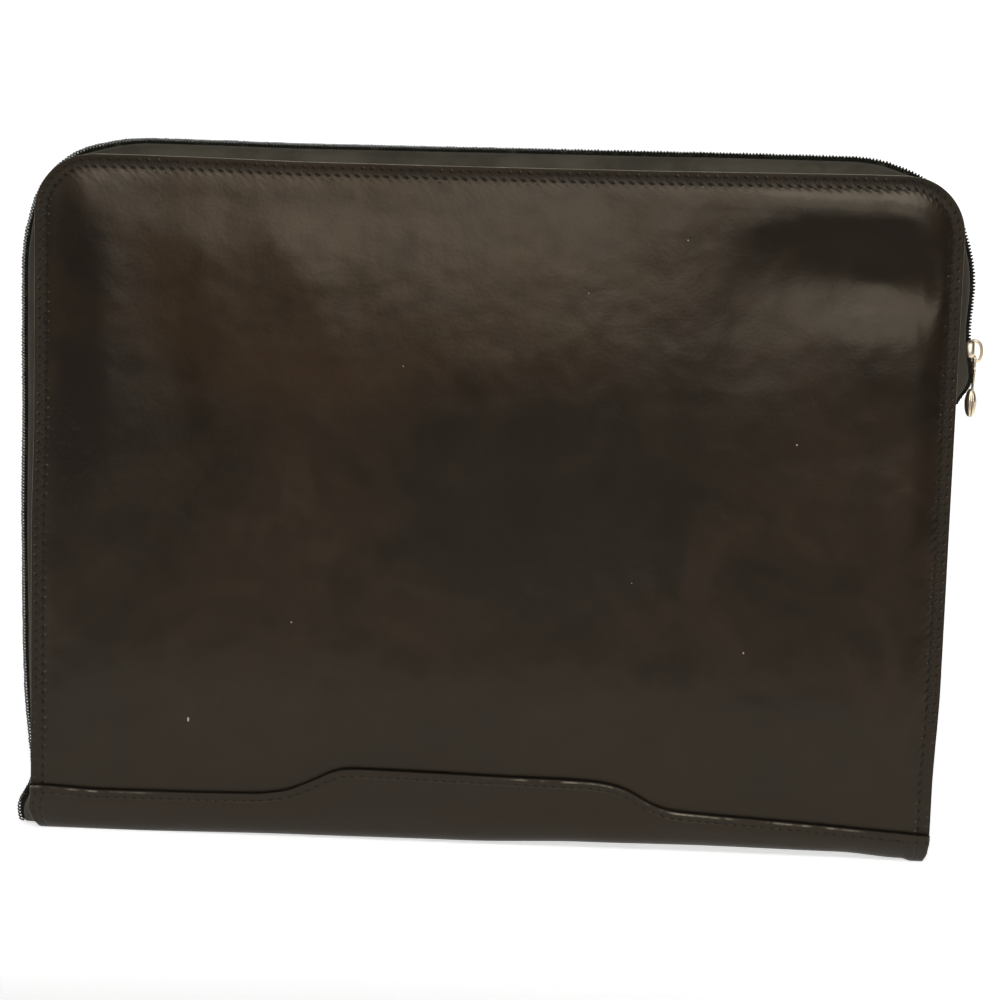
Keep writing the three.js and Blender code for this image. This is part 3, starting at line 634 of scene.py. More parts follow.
def band_calf(look, colours):
    """The base band: browner, with painted shade towards the fold, and one row of stitches under its edge."""
    sizes = bpy.context.scene.case_sizes
    along, inset = look.edge()
    x, _, up = look.position()
    from_end = HALF_WIDTH - (along - HALF_WIDTH).size()
    mottle = look.noise(26, 4, 0.55)
    colour = look.blend(mottle.step(0.3, 0.75) * 0.8, colours.deep, colours.band)
    # Painted shade where the band turns under the base.
    low = 1 - up.step(1 * MM, 10 * MM)
    colour = look.blend(low * 0.7, colour, (0.0045, 0.0033, 0.0026))
    # The paler cut edge, in patches just under the band's edge: partly wear, and partly painted glint where the
    # rounded edge catches the light.
    worn = ridge(inset, 0.9 * MM, 0.6 * MM) * look.noise(150, 3, 0.6).step(0.42, 0.7)
    worn = worn * look.noise(14, 1).step(0.42, 0.6)
    colour = look.blend(worn * 0.5, colour, colours.cut)
    sides = 1 - from_end.step(0.2 * MM, 0.9 * MM)
    colour = look.blend(sides * 0.06, colour, colours.cut)
    # Painted shadow: a dark line along the band's very edge, where it stands off the panel.
    edge_shadow = 1 - inset.step(0.15 * MM, 0.65 * MM)
    colour = look.blend(edge_shadow, colour, PAINTED_SHADE_COLOUR)
    left = 1 - x.step(-1 * MM, 1 * MM)
    pit = (
        holes(along, inset, sizes.band_row, 0.0, sizes.band_pitch, 0.95 * MM, 20)
        + holes(up, from_end, sizes.inner_row, 0.0, sizes.stitch_pitch, 0.8 * MM)
        + holes(up, from_end, sizes.outer_row, 0.5, sizes.stitch_pitch, 0.8 * MM) * left
    ).limited()
    groove = (ridge(inset, sizes.band_row, 1.0 * MM) + ridge(from_end, sizes.inner_row, 0.9 * MM)).limited()
    # Painted shade in the stitch holes and along the pressed grooves of the rows.
    colour = look.blend(pit * 0.9 + groove * 0.3, colour, (0.003, 0.0025, 0.002))
    height = grain(look) - pit * (0.3 * MM) - groove * (0.18 * MM)
    roughness = 0.36 + look.noise(30, 3, 0.6) * 0.14 + pit * 0.2 + edge_shadow * 0.4
    return look.finish(colour, roughness, height, Specular_IOR_Level=0.34, Specular_Tint=WARM_SHINE)


def gusset_calf(look, colours):
    """The strips and the pleat: greyer and more matt than the panels."""
    mottle = look.noise(45, 4, 0.6)
    dark = tinted(colours.gusset, 0.6)
    colour = look.blend(mottle.step(0.3, 0.7), dark, colours.gusset)
    x, _, z = look.position()
    # Painted shade: the strips are darker down the sides than over the top.
    sides = (x - CENTRE).size().step(HALF_WIDTH - 8 * MM, HALF_WIDTH) * (1 - z.step(235 * MM, 270 * MM))
    colour = look.blend(sides * 0.5, colour, tinted(colours.gusset, 0.45))
    height = grain(look, 1.5)
    return look.finish(colour, 0.55 + mottle * 0.15, height, Specular_IOR_Level=0.06)


def cut_edge(look, colours):
    """The cut edges of the leather: dry, and paler than its face."""
    fibres = look.noise(500, 3, 0.7)
    dark = tinted(colours.cut, 0.5)
    colour = look.blend(fibres.step(0.3, 0.75), dark, colours.cut)
    return look.finish(colour, 0.55 + fibres * 0.2, fibres * (0.08 * MM), Specular_IOR_Level=0.35)


def waxed_thread(look, colours):
    """Thick waxed thread with a slight twist."""
    twist = look.noise(1800, 2, 0.5)
    light = tinted(colours.thread, 1.8)
    colour = look.blend(twist.step(0.35, 0.7), colours.thread, light)
    return look.finish(colour, 0.5 + twist * 0.2, twist * (0.05 * MM), Specular_IOR_Level=0.3)


def nylon_coil(look, colours):
    """The coil: dark nylon, a little dusty."""
    dust = look.noise(300, 3, 0.6)
    light = tinted(colours.coil, 4)
    colour = look.blend(dust.step(0.5, 0.75), colours.coil, light)
    return look.finish(colour, 0.45 + dust * 0.15, dust * (0.02 * MM), Specular_IOR_Level=0.04)


def woven_tape(look, colours):
    """The tape: fine herringbone weave, matt."""
    x, y, z = look.position()
    weft = ((x + z) * (2 * pi / (0.5 * MM))).sine()
    warp = (y * (2 * pi / (0.45 * MM))).sine()
    weave = weft * warp * 0.5 + 0.5
    light = tinted(colours.tape, 2.5)
    colour = look.blend(weave, colours.tape, light)
    return look.finish(colour, 0.85, weave * (0.06 * MM), Specular_IOR_Level=0.0)


def polished_brass(look, colours):
    """Pale polished brass with fine scratches and a trace of tarnish."""
    scratches = look.noise(1, 3, 0.6, look.stretched((400, 400, 6000), (0.5, 0, 0.3)))
    tarnish = look.noise(350, 3, 0.6).step(0.5, 0.8)
    colour = look.blend(tarnish * 0.35, colours.brass, (0.6, 0.46, 0.32))
    roughness = 0.31 + scratches * 0.12 + tarnish * 0.15
    return look.finish(colour, roughness, scratches * (0.006 * MM), Metallic=1.0)


def material(maker):
    """A material, made once."""
    name = maker.__name__
    return bpy.data.materials.get(name) or maker(Look(name), bpy.context.scene.case_colours)


LAST_TURN = 1.3  # radians round the corner, which leaves the last row wide enough to soften


def panel_grid(side, worn):
    """Points on a panel's outer face, and each point's lengths along and inside the panel's edge."""
    half = np.concatenate([
        np.linspace(0, HALF_WIDTH - 22 * MM, 58, endpoint=False),
        np.linspace(HALF_WIDTH - 22 * MM, HALF_WIDTH, 34),
    ])
    columns = np.concatenate([-half[:0:-1], half])
    straight_top = PANEL_HEIGHT - PANEL_CORNER
    share = np.linspace(0, 1, 88, endpoint=False)
    turns = np.append(np.linspace(0, LAST_TURN, 36), pi / 2)
    grid = np.zeros((len(columns), len(share) + len(turns), 3))
    for i, column in enumerate(columns):
        low = mixed(band_edge(column) - BAND_LAP, straight_top, share)
        reach = HALF_WIDTH - PANEL_CORNER * (1 - np.cos(turns))
        x = np.concatenate([np.full(len(low), column), column / HALF_WIDTH * reach])
        z = np.concatenate([low, straight_top + PANEL_CORNER * np.sin(turns)])
        grid[i] = np.stack([x, side * panel_depth(x, z, worn), z], axis=1)
    x, z = grid[..., 0], grid[..., 2]
    return grid, np.stack([along_of(x, z), inset_of(x, z)], axis=-1)


def band_grid():
    """Points on the band's outer face, from its front edge under the base to its back edge."""
    step_end = BAND_MIDDLE_LENGTH / 2 + BAND_STEP_LENGTH
    half = np.concatenate([
        np.linspace(0, BAND_MIDDLE_LENGTH / 2, 22, endpoint=False),
        np.linspace(BAND_MIDDLE_LENGTH / 2, step_end, 24, endpoint=False),
        np.linspace(step_end, HALF_WIDTH - 20 * MM, 34, endpoint=False),
        np.linspace(HALF_WIDTH - 20 * MM, HALF_WIDTH, 24),
    ])
    columns = np.concatenate([-half[:0:-1], half])
    rows, maps = [], []
    for x in columns:
        edge, lift = band_edge(x), base_lift(x)
        first_turn = np.arcsin(np.clip((FOLD_HEIGHT - edge) / (FOLD_HEIGHT - lift), 0, 1))
        turns = np.linspace(first_turn, pi / 2, 60)
        above = np.linspace(edge, FOLD_HEIGHT, 30, endpoint=False) if edge > FOLD_HEIGHT else []
        heights = np.concatenate([above, mixed(FOLD_HEIGHT, lift, np.sin(turns))])
        depths = band_surface(np.full(len(heights), x), heights)
        run = np.concatenate([[0], np.cumsum(np.hypot(np.diff(heights), np.diff(depths)))])
        even = np.linspace(0, run[-1], 30)
        heights, depths = np.interp(even, run, heights), np.interp(even, run, depths)
        depths = depths + 0.3 * MM * np.sin(pi * np.clip((edge - heights) / (9 * MM), 0, 1))
        flat = np.linspace(-REST_HALF, REST_HALF, 7)[1:-1]
        y = np.concatenate([-depths, flat, depths[::-1]])
        z = np.concatenate([heights, np.full(len(flat), lift), heights[::-1]])
        rows.append(np.stack([x + end_shift(np.full(len(y), x), z - lift), y, z], axis=1))
        maps.append(np.stack([np.full(len(y), x + HALF_WIDTH), edge - z], axis=1))
    return np.array(rows), np.array(maps)


def reach_to_outline(angle):
    """Distance from the centre of the zip's corner to the panel's outline."""
    across, up = cos(angle), sin(angle)
    arc_start = ZIP_CORNER - PANEL_CORNER
    if ZIP_CORNER / across * up <= arc_start:
        return ZIP_CORNER / across
    if ZIP_CORNER / up * across <= arc_start:
        return ZIP_CORNER / up
    along = arc_start * (across + up)
    return along + (along * along - 2 * arc_start ** 2 + PANEL_CORNER ** 2) ** 0.5


def straight_sections(run, count):
    """Sections of one straight run of the zip: place, direction out and rise of the crest."""
    places, rises = np.array(ZIP_LINE[run], dtype=float).T
    for share in np.linspace(places[0], places[-1], count):
        rise = float(np.interp(share, places, rises)) * ZIP_RISE
        if run == "left":
            yield (-HALF_WIDTH, share * SIDE_RUN, -1, 0, rise)
        elif run == "top":
            yield ((share - 0.5) * TOP_RUN, PANEL_HEIGHT, 0, 1, rise)
        else:
            yield (HALF_WIDTH, (1 - share) * SIDE_RUN, 1, 0, rise)


def corner_sections(side, from_rise, to_rise, bow, count=34):
    """Sections round one corner of the zip, between the straight runs."""
    for t in np.linspace(0, 1, count + 1, endpoint=False)[1:]:
        angle = (t if side < 0 else 1 - t) * pi / 2
        reach = reach_to_outline(angle)
        out_x, out_z = side * cos(angle), sin(angle)
        crest = ZIP_CORNER + mixed(from_rise, to_rise, t) + bow * sin(pi * t) ** 3
        centre = side * (HALF_WIDTH - ZIP_CORNER)
        yield (centre + out_x * reach, SIDE_RUN + out_z * reach, out_x, out_z, crest - reach)


def zip_sections():
    """All the sections of the zip, up the left side, along the top and down the right."""
    left = list(straight_sections("left", 130))
    top = list(straight_sections("top", 90))
    right = list(straight_sections("right", 44))
    corners = [
        corner_sections(-1, left[-1][4], top[0][4], LEFT_CORNER_BOW),
        corner_sections(1, top[-1][4], right[0][4], RIGHT_CORNER_BOW),
    ]
    sections = np.array([*left, *corners[0], *top, *corners[1], *right])
    rise = sections[:, 4]
    padded = np.pad(rise, 3, mode="edge")
    sections[:, 4] = sum(padded[i:i + len(rise)] for i in range(7)) / 7
    return sections


def section_points(section, outs, depths):
    """Points of a section that lie out from the panel's outline by some lengths, at some depths."""
    x, z, out_x, out_z, _ = section
    return np.stack([x + out_x * outs, depths, z + out_z * outs], axis=1)


def strip_curve(section, t):
    """The visible curve of a gusset strip, from the panel's edge to beside the coil."""
    x, z, out_x, _, rise = section
    inner = half_depth(x, z, 0, 0) - PANEL_LEATHER - SEAM_GAP
    bend = -GUSSET_LEATHER * 2 / 3
    edge = rise - mixed(COIL_SHOWN["top"], COIL_SHOWN["left" if out_x < 0 else "right"], abs(out_x))
    points = [(bend, inner), (max(0.6 * edge, bend), inner - GUSSET_LEATHER / 2), (edge, ZIP_SLOT / 2)]
    weights = [(1 - t) ** 2, 2 * t * (1 - t), t ** 2]
    out, depth = (sum(weight * point[i] for weight, point in zip(weights, points)) for i in (0, 1))
    slopes = [2 * (1 - t), 2 * t]
    slope = [slopes[0] * (points[1][i] - points[0][i]) + slopes[1] * (points[2][i] - points[1][i])
             for i in (0, 1)]
    return out, depth, np.stack(slope) / np.hypot(*slope), inner


def gusset_grid(sections, side):
    """Points on a strip's outer face. The strip is a little uneven, as leather over a sewn zip is."""
    rows = []
    length = 0.0
    for i, section in enumerate(sections):
        if i:
            length += float(np.hypot(*(section[:2] - sections[i - 1][:2])))
        t = np.linspace(0, 1, 14)
        out, depth, _, inner = strip_curve(section, t)
        puff = 0.35 * MM * np.sin(pi * t) * (0.8 + 0.5 * sin(length * 95) * sin(length * 37 + 1))
        outs = np.concatenate([[-GUSSET_LAP, -GUSSET_LAP / 2.5], out + puff])
        depths = np.concatenate([[inner, inner], depth])
        rows.append(section_points(section, outs, side * depths))
    return np.array(rows)


def tape_grid(sections, side):
    """Points on a tape's outer face: sewn under the strip, then up to the coil."""
    under = GUSSET_LEATHER + SEAM_GAP
    rows = []
    for section in sections:
        t = np.linspace(TAPE_FROM, 1, 4)
        out, depth, slope, _ = strip_curve(section, t)
        level = section[4] + COIL_BASE
        outs = np.concatenate([out + under * slope[1], [level, level]])
        depths = np.concatenate([depth - under * slope[0], [COIL_WIDTH / 2, TAPE_EDGE]])
        rows.append(section_points(section, outs, side * depths))
    return np.array(rows)


def pleat_grid():
    """Points on the pleat's outer face: round a nose behind each panel, then in to the fold."""
    low, high = 4 * MM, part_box("side_pleat")[1][2]
    rows = []
    for z in np.concatenate([np.linspace(low, 20 * MM, 14, endpoint=False), np.linspace(20 * MM, high, 60)]):
        inner = half_depth(HALF_WIDTH, z, 0, 0) - PANEL_LEATHER - SEAM_GAP
        turns = np.linspace(0, pi, 9)
        nose_x = HALF_WIDTH - PLEAT_NOSE + (PLEAT_NOSE * 0.55) * np.sin(turns)
        nose_depth = inner - PLEAT_NOSE / 2 * (1 - np.cos(turns))
        fall = np.linspace(0, 1, 9)[1:]
        slack = 0.5 * MM * sin(z * 70)
        in_x = mixed(HALF_WIDTH - PLEAT_NOSE, HALF_WIDTH - PLEAT_DEPTH, smooth(fall))
        in_x = in_x + slack * fall * (1 - fall)
        in_depth = mixed(inner - PLEAT_NOSE, 0, fall ** 0.8)
        x = np.concatenate([[HALF_WIDTH - GUSSET_LAP], nose_x, in_x])
        depth = np.concatenate([[inner], nose_depth, in_depth])
        x = np.concatenate([x, x[-2::-1]])
        y = np.concatenate([-depth, depth[-2::-1]])
        rows.append(np.stack([x, y, np.full(len(x), z)], axis=1))
    return np.array(rows)


def thread_tree():
    """A Geometry Nodes tree that lays arched strands along a path, every second one mirrored.

    A strand lies in its own frame: X along the path, Z out of the surface. Its ends may go under the surface.
    """
    tree = bpy.data.node_groups.get("Strands along a path")
    if tree:
        return tree
    tree = bpy.data.node_groups.new("Strands along a path", "GeometryNodeTree")
    wiring = Wiring(tree)
    tree.interface.new_socket("Geometry", in_out="INPUT", socket_type="NodeSocketGeometry")
    for name in ("Spacing", "Thickness", "Second lower"):
        tree.interface.new_socket(name, in_out="INPUT", socket_type="NodeSocketFloat")
    for name in ("Start", "Middle", "End"):
        tree.interface.new_socket(name, in_out="INPUT", socket_type="NodeSocketVector")
    tree.interface.new_socket("Unevenness", in_out="INPUT", socket_type="NodeSocketFloat")
    tree.interface.new_socket("Material", in_out="INPUT", socket_type="NodeSocketMaterial")
    tree.interface.new_socket("Geometry", in_out="OUTPUT", socket_type="NodeSocketGeometry")
    source = tree.nodes.new("NodeGroupInput")
    given = {output.name: Value(wiring, output) for output in source.outputs if output.name}
    section = wiring.node("GeometryNodeCurvePrimitiveCircle", {}, {"Resolution": 6,
                                                                   "Radius": given["Thickness"] * 0.5})
    strands = []
    for mirror in (1, -1):
        ends = {
            name: wiring.node("ShaderNodeVectorMath", {"operation": "MULTIPLY"},
                              {0: given[name], 1: (1, mirror, 1)})
            for name in ("Start", "Middle", "End")
        }
        if mirror < 0:
            lower = wiring.node("ShaderNodeCombineXYZ", {}, {2: given["Second lower"]})
            ends["Middle"] = wiring.node("ShaderNodeVectorMath", {"operation": "SUBTRACT"},
                                         {0: ends["Middle"], 1: lower})
        spine = wiring.node("GeometryNodeCurveQuadraticBezier", {}, {"Resolution": 6, **ends})
        tube = wiring.node("GeometryNodeCurveToMesh", {}, {0: spine, 1: section, "Fill Caps": True})
        strands.append(tube)
    pair = tree.nodes.new("GeometryNodeGeometryToInstance")
    for strand in reversed(strands):
        tree.links.new(strand.socket, pair.inputs[0])
    path = wiring.node("GeometryNodeMeshToCurve", {}, {0: given["Geometry"]})
    spaced = wiring.node("GeometryNodeResampleCurve", {"mode": "LENGTH"}, {0: path, "Length": given["Spacing"]})
    tangent = wiring.node("GeometryNodeInputTangent")
    out = wiring.node("GeometryNodeInputNamedAttribute", {"data_type": "FLOAT_VECTOR"}, {"Name": "out"})
    turn = wiring.node("FunctionNodeAxesToRotation", {"primary_axis": "Z", "secondary_axis": "X"},
                       {0: out, 1: tangent})
    place = wiring.node("GeometryNodeInputIndex")
    odd = wiring.node("ShaderNodeMath", {"operation": "MODULO"}, {0: place, 1: 2})
    uneven = wiring.node("FunctionNodeRandomValue", {"data_type": "FLOAT"}, {2: 0.85, 3: 1.15, "Seed": 11},
                         output=1)
    size = 1 + (uneven - 1) * given["Unevenness"]
    laid = wiring.node("GeometryNodeInstanceOnPoints", {}, {
        "Points": spaced, "Instance": Value(wiring, pair.outputs[0]), "Pick Instance": True,
        "Instance Index": odd, "Rotation": turn, "Scale": size})
    solid = wiring.node("GeometryNodeRealizeInstances", {}, {0: laid})
    looked = wiring.node("GeometryNodeSetMaterial", {}, {0: solid, "Material": given["Material"]})
    sink = tree.nodes.new("NodeGroupOutput")
    tree.links.new(looked.socket, sink.inputs[0])
    return tree


def strands(name, paths, spacing, thickness, ends, look, unevenness=1.0, lower=0.0):
    """A piece of strands laid along one or more paths, each a list of points with their directions out.

    Every second strand's middle is lower by a length.
    """
    mesh = bpy.data.meshes.new(name)
    points, edges, outs = [], [], []
    for path, out in paths:
        first = len(points)
        points.extend(placed(path).tolist())
        outs.extend(np.asarray(out).tolist())
        edges.extend((first + i, first + i + 1) for i in range(len(path) - 1))
    mesh.from_pydata(points, edges, [])
    outwards = mesh.attributes.new("out", "FLOAT_VECTOR", "POINT")
    outwards.data.foreach_set("vector", np.array(outs, dtype=np.float32).ravel())
    carrier = new_object(name + "_path", mesh)
    layer = carrier.modifiers.new("Strands", "NODES")
    layer.node_group = thread_tree()
    values = {"Spacing": spacing, "Thickness": thickness, "Unevenness": unevenness, "Material": look,
              "Second lower": lower,
              **dict(zip(("Start", "Middle", "End"), ends))}
    for item in layer.node_group.interface.items_tree:
        if item.in_out == "INPUT" and item.name in values:
            layer[item.identifier] = values[item.name]
    bpy.context.view_layer.update()
    evaluated = carrier.evaluated_get(bpy.context.evaluated_depsgraph_get())
    baked = bpy.data.meshes.new_from_object(evaluated)
    baked.name = name
    baked.shade_smooth()
    bpy.data.objects.remove(carrier)
    if len(baked.polygons) == 0:
        raise RuntimeError(f"{name} came out empty")
    return new_object(name, baked)


def seam_path(inset, side, worn):
    """A path on a panel at one distance inside its edge, up the left side, over and down the right."""
    corner = PANEL_CORNER - inset
    straight_top = PANEL_HEIGHT - PANEL_CORNER
    turns = np.linspace(0, pi / 2, 30)[1:-1]
    rise = np.arange(THREAD_LOW, straight_top, 1.2 * MM)
    over = np.arange(-(HALF_WIDTH - PANEL_CORNER), 0, 1.2 * MM)
    half_x = np.concatenate([
        np.full(len(rise), -(HALF_WIDTH - inset)), over[0] - corner * np.cos(turns), over])
    half_z = np.concatenate([
        rise, straight_top + corner * np.sin(turns), np.full(len(over), PANEL_HEIGHT - inset)])
    x = np.concatenate([half_x, -half_x[::-1]])
    z = np.concatenate([half_z, half_z[::-1]])
    return on_surface(x, z, side, lambda x, z: panel_depth(x, z, worn))


def on_surface(x, z, side, depth):
    """Points on a face, with the direction out of the face at each."""
    reach = 0.3 * MM
    here = depth(x, z)
    over_x = (depth(x + reach, z) - depth(x - reach, z)) / (2 * reach)
    over_z = (depth(x, z + reach) - depth(x, z - reach)) / (2 * reach)
    out = np.stack([-over_x, np.full(len(x), float(side)), -over_z], axis=1)
    out /= np.linalg.norm(out, axis=1)[:, None]
    return np.stack([x, side * here, z], axis=1), out


def band_surface(x, z):
    """Half the case's thickness on the band's outer face."""
    return half_depth(x, z, padding(x, z, False), BAND_STACK)


def coil_path(sections, keep, across=0.0):
    """A path along the coil, through the sections that a test keeps."""
    kept = [section for section in sections if keep(section)]
    points = np.concatenate([
        section_points(section, np.array([section[4] + COIL_BASE]), np.array([across])) for section in kept])
    outs = np.array([(section[2], 0, section[3]) for section in kept])
    return points, outs


class MakePanels(bpy.types.Operator):
    """Makes the front and back panels in leather."""
    bl_idname = "case.make_panels"
    bl_label = "Panels"

    def execute(self, context):
        looks = [material(panel_calf), material(cut_edge)]
        for node, side, worn in (("front_panel", -1, True), ("back_panel", 1, False)):
            grid, lengths = panel_grid(side, worn)
            piece = leather_piece(node + "_leather", grid, -side, PANEL_LEATHER, looks, lengths, 0.42 * MM)
            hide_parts(node)
            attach(piece, "case")
        return {"FINISHED"}


class MakeBand(bpy.types.Operator):
    """Makes the band that wraps the base."""
    bl_idname = "case.make_band"
    bl_label = "Base band"

    def execute(self, context):
        grid, lengths = band_grid()
        looks = [material(band_calf)]
        piece = leather_piece("base_band_leather", grid, -1, BAND_LEATHER, looks, lengths, 0.45 * MM)
        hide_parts("base_band")
        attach(piece, "case")
        return {"FINISHED"}


class MakeGussets(bpy.types.Operator):
    """Makes the strips that carry the zip, its tapes and the side pleat."""
    bl_idname = "case.make_gussets"
    bl_label = "Gussets, tapes and pleat"

    def execute(self, context):
        sections = zip_sections()
        leather, tape = [material(gusset_calf)], [material(woven_tape)]
        for name, side in (("front", -1), ("back", 1)):
            strip = leather_piece(name + "_gusset_leather", gusset_grid(sections, side), -side,
                                  GUSSET_LEATHER, leather, soften=0.35 * MM)
            self.settle(strip, name + "_gusset", "gusset_leather")
            cloth = leather_piece("zip_tape_" + name + "_cloth", tape_grid(sections, side), -side,
                                  TAPE_THICKNESS, tape, soften=0.1 * MM)
            self.settle(cloth, "zip_tape_" + name, "zip_tape")
        pleat = leather_piece("side_pleat_leather", pleat_grid(), -1, PLEAT_LEATHER, leather)
        self.settle(pleat, "side_pleat", "gusset_leather")
        return {"FINISHED"}

    @staticmethod
    def settle(piece, node, slot):
        """Puts a piece in its node's place."""
        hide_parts(node)
        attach(piece, "case")


class MakeStitches(bpy.types.Operator):
    """Sews the zigzag round the panels and the row along the band."""
    bl_idname = "case.make_stitches"
    bl_label = "Stitches"

    def execute(self, context):
        sizes = context.scene.case_sizes
        look = material(waxed_thread)
        middle = (sizes.outer_row + sizes.inner_row) / 2
        reach = (sizes.inner_row - sizes.outer_row) / 2
        quarter = sizes.stitch_pitch / 4
        sunk = 0.35 * MM
        zigzag = [(-quarter, reach, -sunk), (0, 0, 0.7 * MM), (quarter, -reach, -sunk)]
        for name, side, worn in (("front", -1, True), ("back", 1, False)):
            path = seam_path(middle, side, worn)
            piece = strands(name + "_panel_stitches", [path], sizes.stitch_pitch / 2, sizes.thread_width,
                            zigzag, look, lower=0.4 * MM)
            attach(piece, "case")
            x = np.arange(-HALF_WIDTH + 1.5 * MM, HALF_WIDTH - 1.5 * MM, 0.8 * MM)
            z = band_edge(x) - sizes.band_row
            row = on_surface(x, z, side, band_surface)
            third = sizes.band_pitch * 0.36
            dash = [(-third, 0, -0.4 * MM), (0, 0, 0.55 * MM), (third, 0, -0.4 * MM)]
            piece = strands(name + "_band_stitches", [row], sizes.band_pitch, 0.5 * MM, dash, look)
            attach(piece, "case")
        return {"FINISHED"}


class MakeCoil(bpy.types.Operator):
    """Winds the zip's closed coil and its open tail."""
    bl_idname = "case.make_coil"
    bl_label = "Zip coil"

    def execute(self, context):
        sizes = context.scene.case_sizes
        sections = zip_sections()
        look = material(nylon_coil)
        wire = sizes.coil_wire
        half = COIL_WIDTH / 2
        slant = 0.45 * MM
        turn = [(-slant, -half + wire / 2, 0.1 * MM), (0, -half * 0.55, COIL_HEIGHT * 2.1),
                (slant, half * 0.22, COIL_HEIGHT * 0.55)]
        end = SLIDER_HEIGHT - 0.5 * MM

        def closed(section):
            return not (section[2] == 1 and section[1] < end)

        def opened(section):
            return section[2] == 1 and section[1] < end - 1 * MM

        wound = coil_path(sections, closed)
        piece = strands("zip_coil_turns", [wound], sizes.coil_pitch / 2, wire, turn, look, TURN_UNEVENNESS,
                        TURN_DROP)
        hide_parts("zip_coil")
        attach(piece, "case")
        self.core(sections, closed, look, "zip_coil_core", 0, COIL_WIDTH * 0.4, COIL_HEIGHT * 0.7)
        reach = TAIL_WIDTH / 2
        for name, side in (("front", -1), ("back", 1)):
            self.core(sections, opened, look, "zip_tail_" + name + "_core",
                      side * TAIL_OFFSET, reach, COIL_HEIGHT)
            loop = [(-slant, side * reach, 0.1 * MM), (0, 0, COIL_HEIGHT * 1.9),
                    (slant, -side * reach, 0.3 * MM)]
            path, outs = coil_path(sections, opened, side * TAIL_OFFSET)
            loops = strands("zip_tail_" + name + "_turns", [(path, outs)], sizes.coil_pitch, wire, loop,
                            look, TURN_UNEVENNESS)
            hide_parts("zip_tail_" + name)
            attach(loops, "case")
        return {"FINISHED"}

    @staticmethod
    def core(sections, keep, look, name, across, reach, height):
        """The cord inside the coil, which closes the view between its turns."""
        angles = np.linspace(0, pi, 7)
        grid = np.array([
            section_points(section, section[4] + COIL_BASE - 0.3 * MM + height * np.sin(angles),
                           across + reach * np.cos(angles))
            for section in sections if keep(section)])
        piece = leather_piece(name, grid, 1, 0.4 * MM, [look], soften=0.05 * MM)
        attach(piece, "case")


BEAD_SHIFT = 0.55 * MM  # how far the bead hangs to the left of the hinge


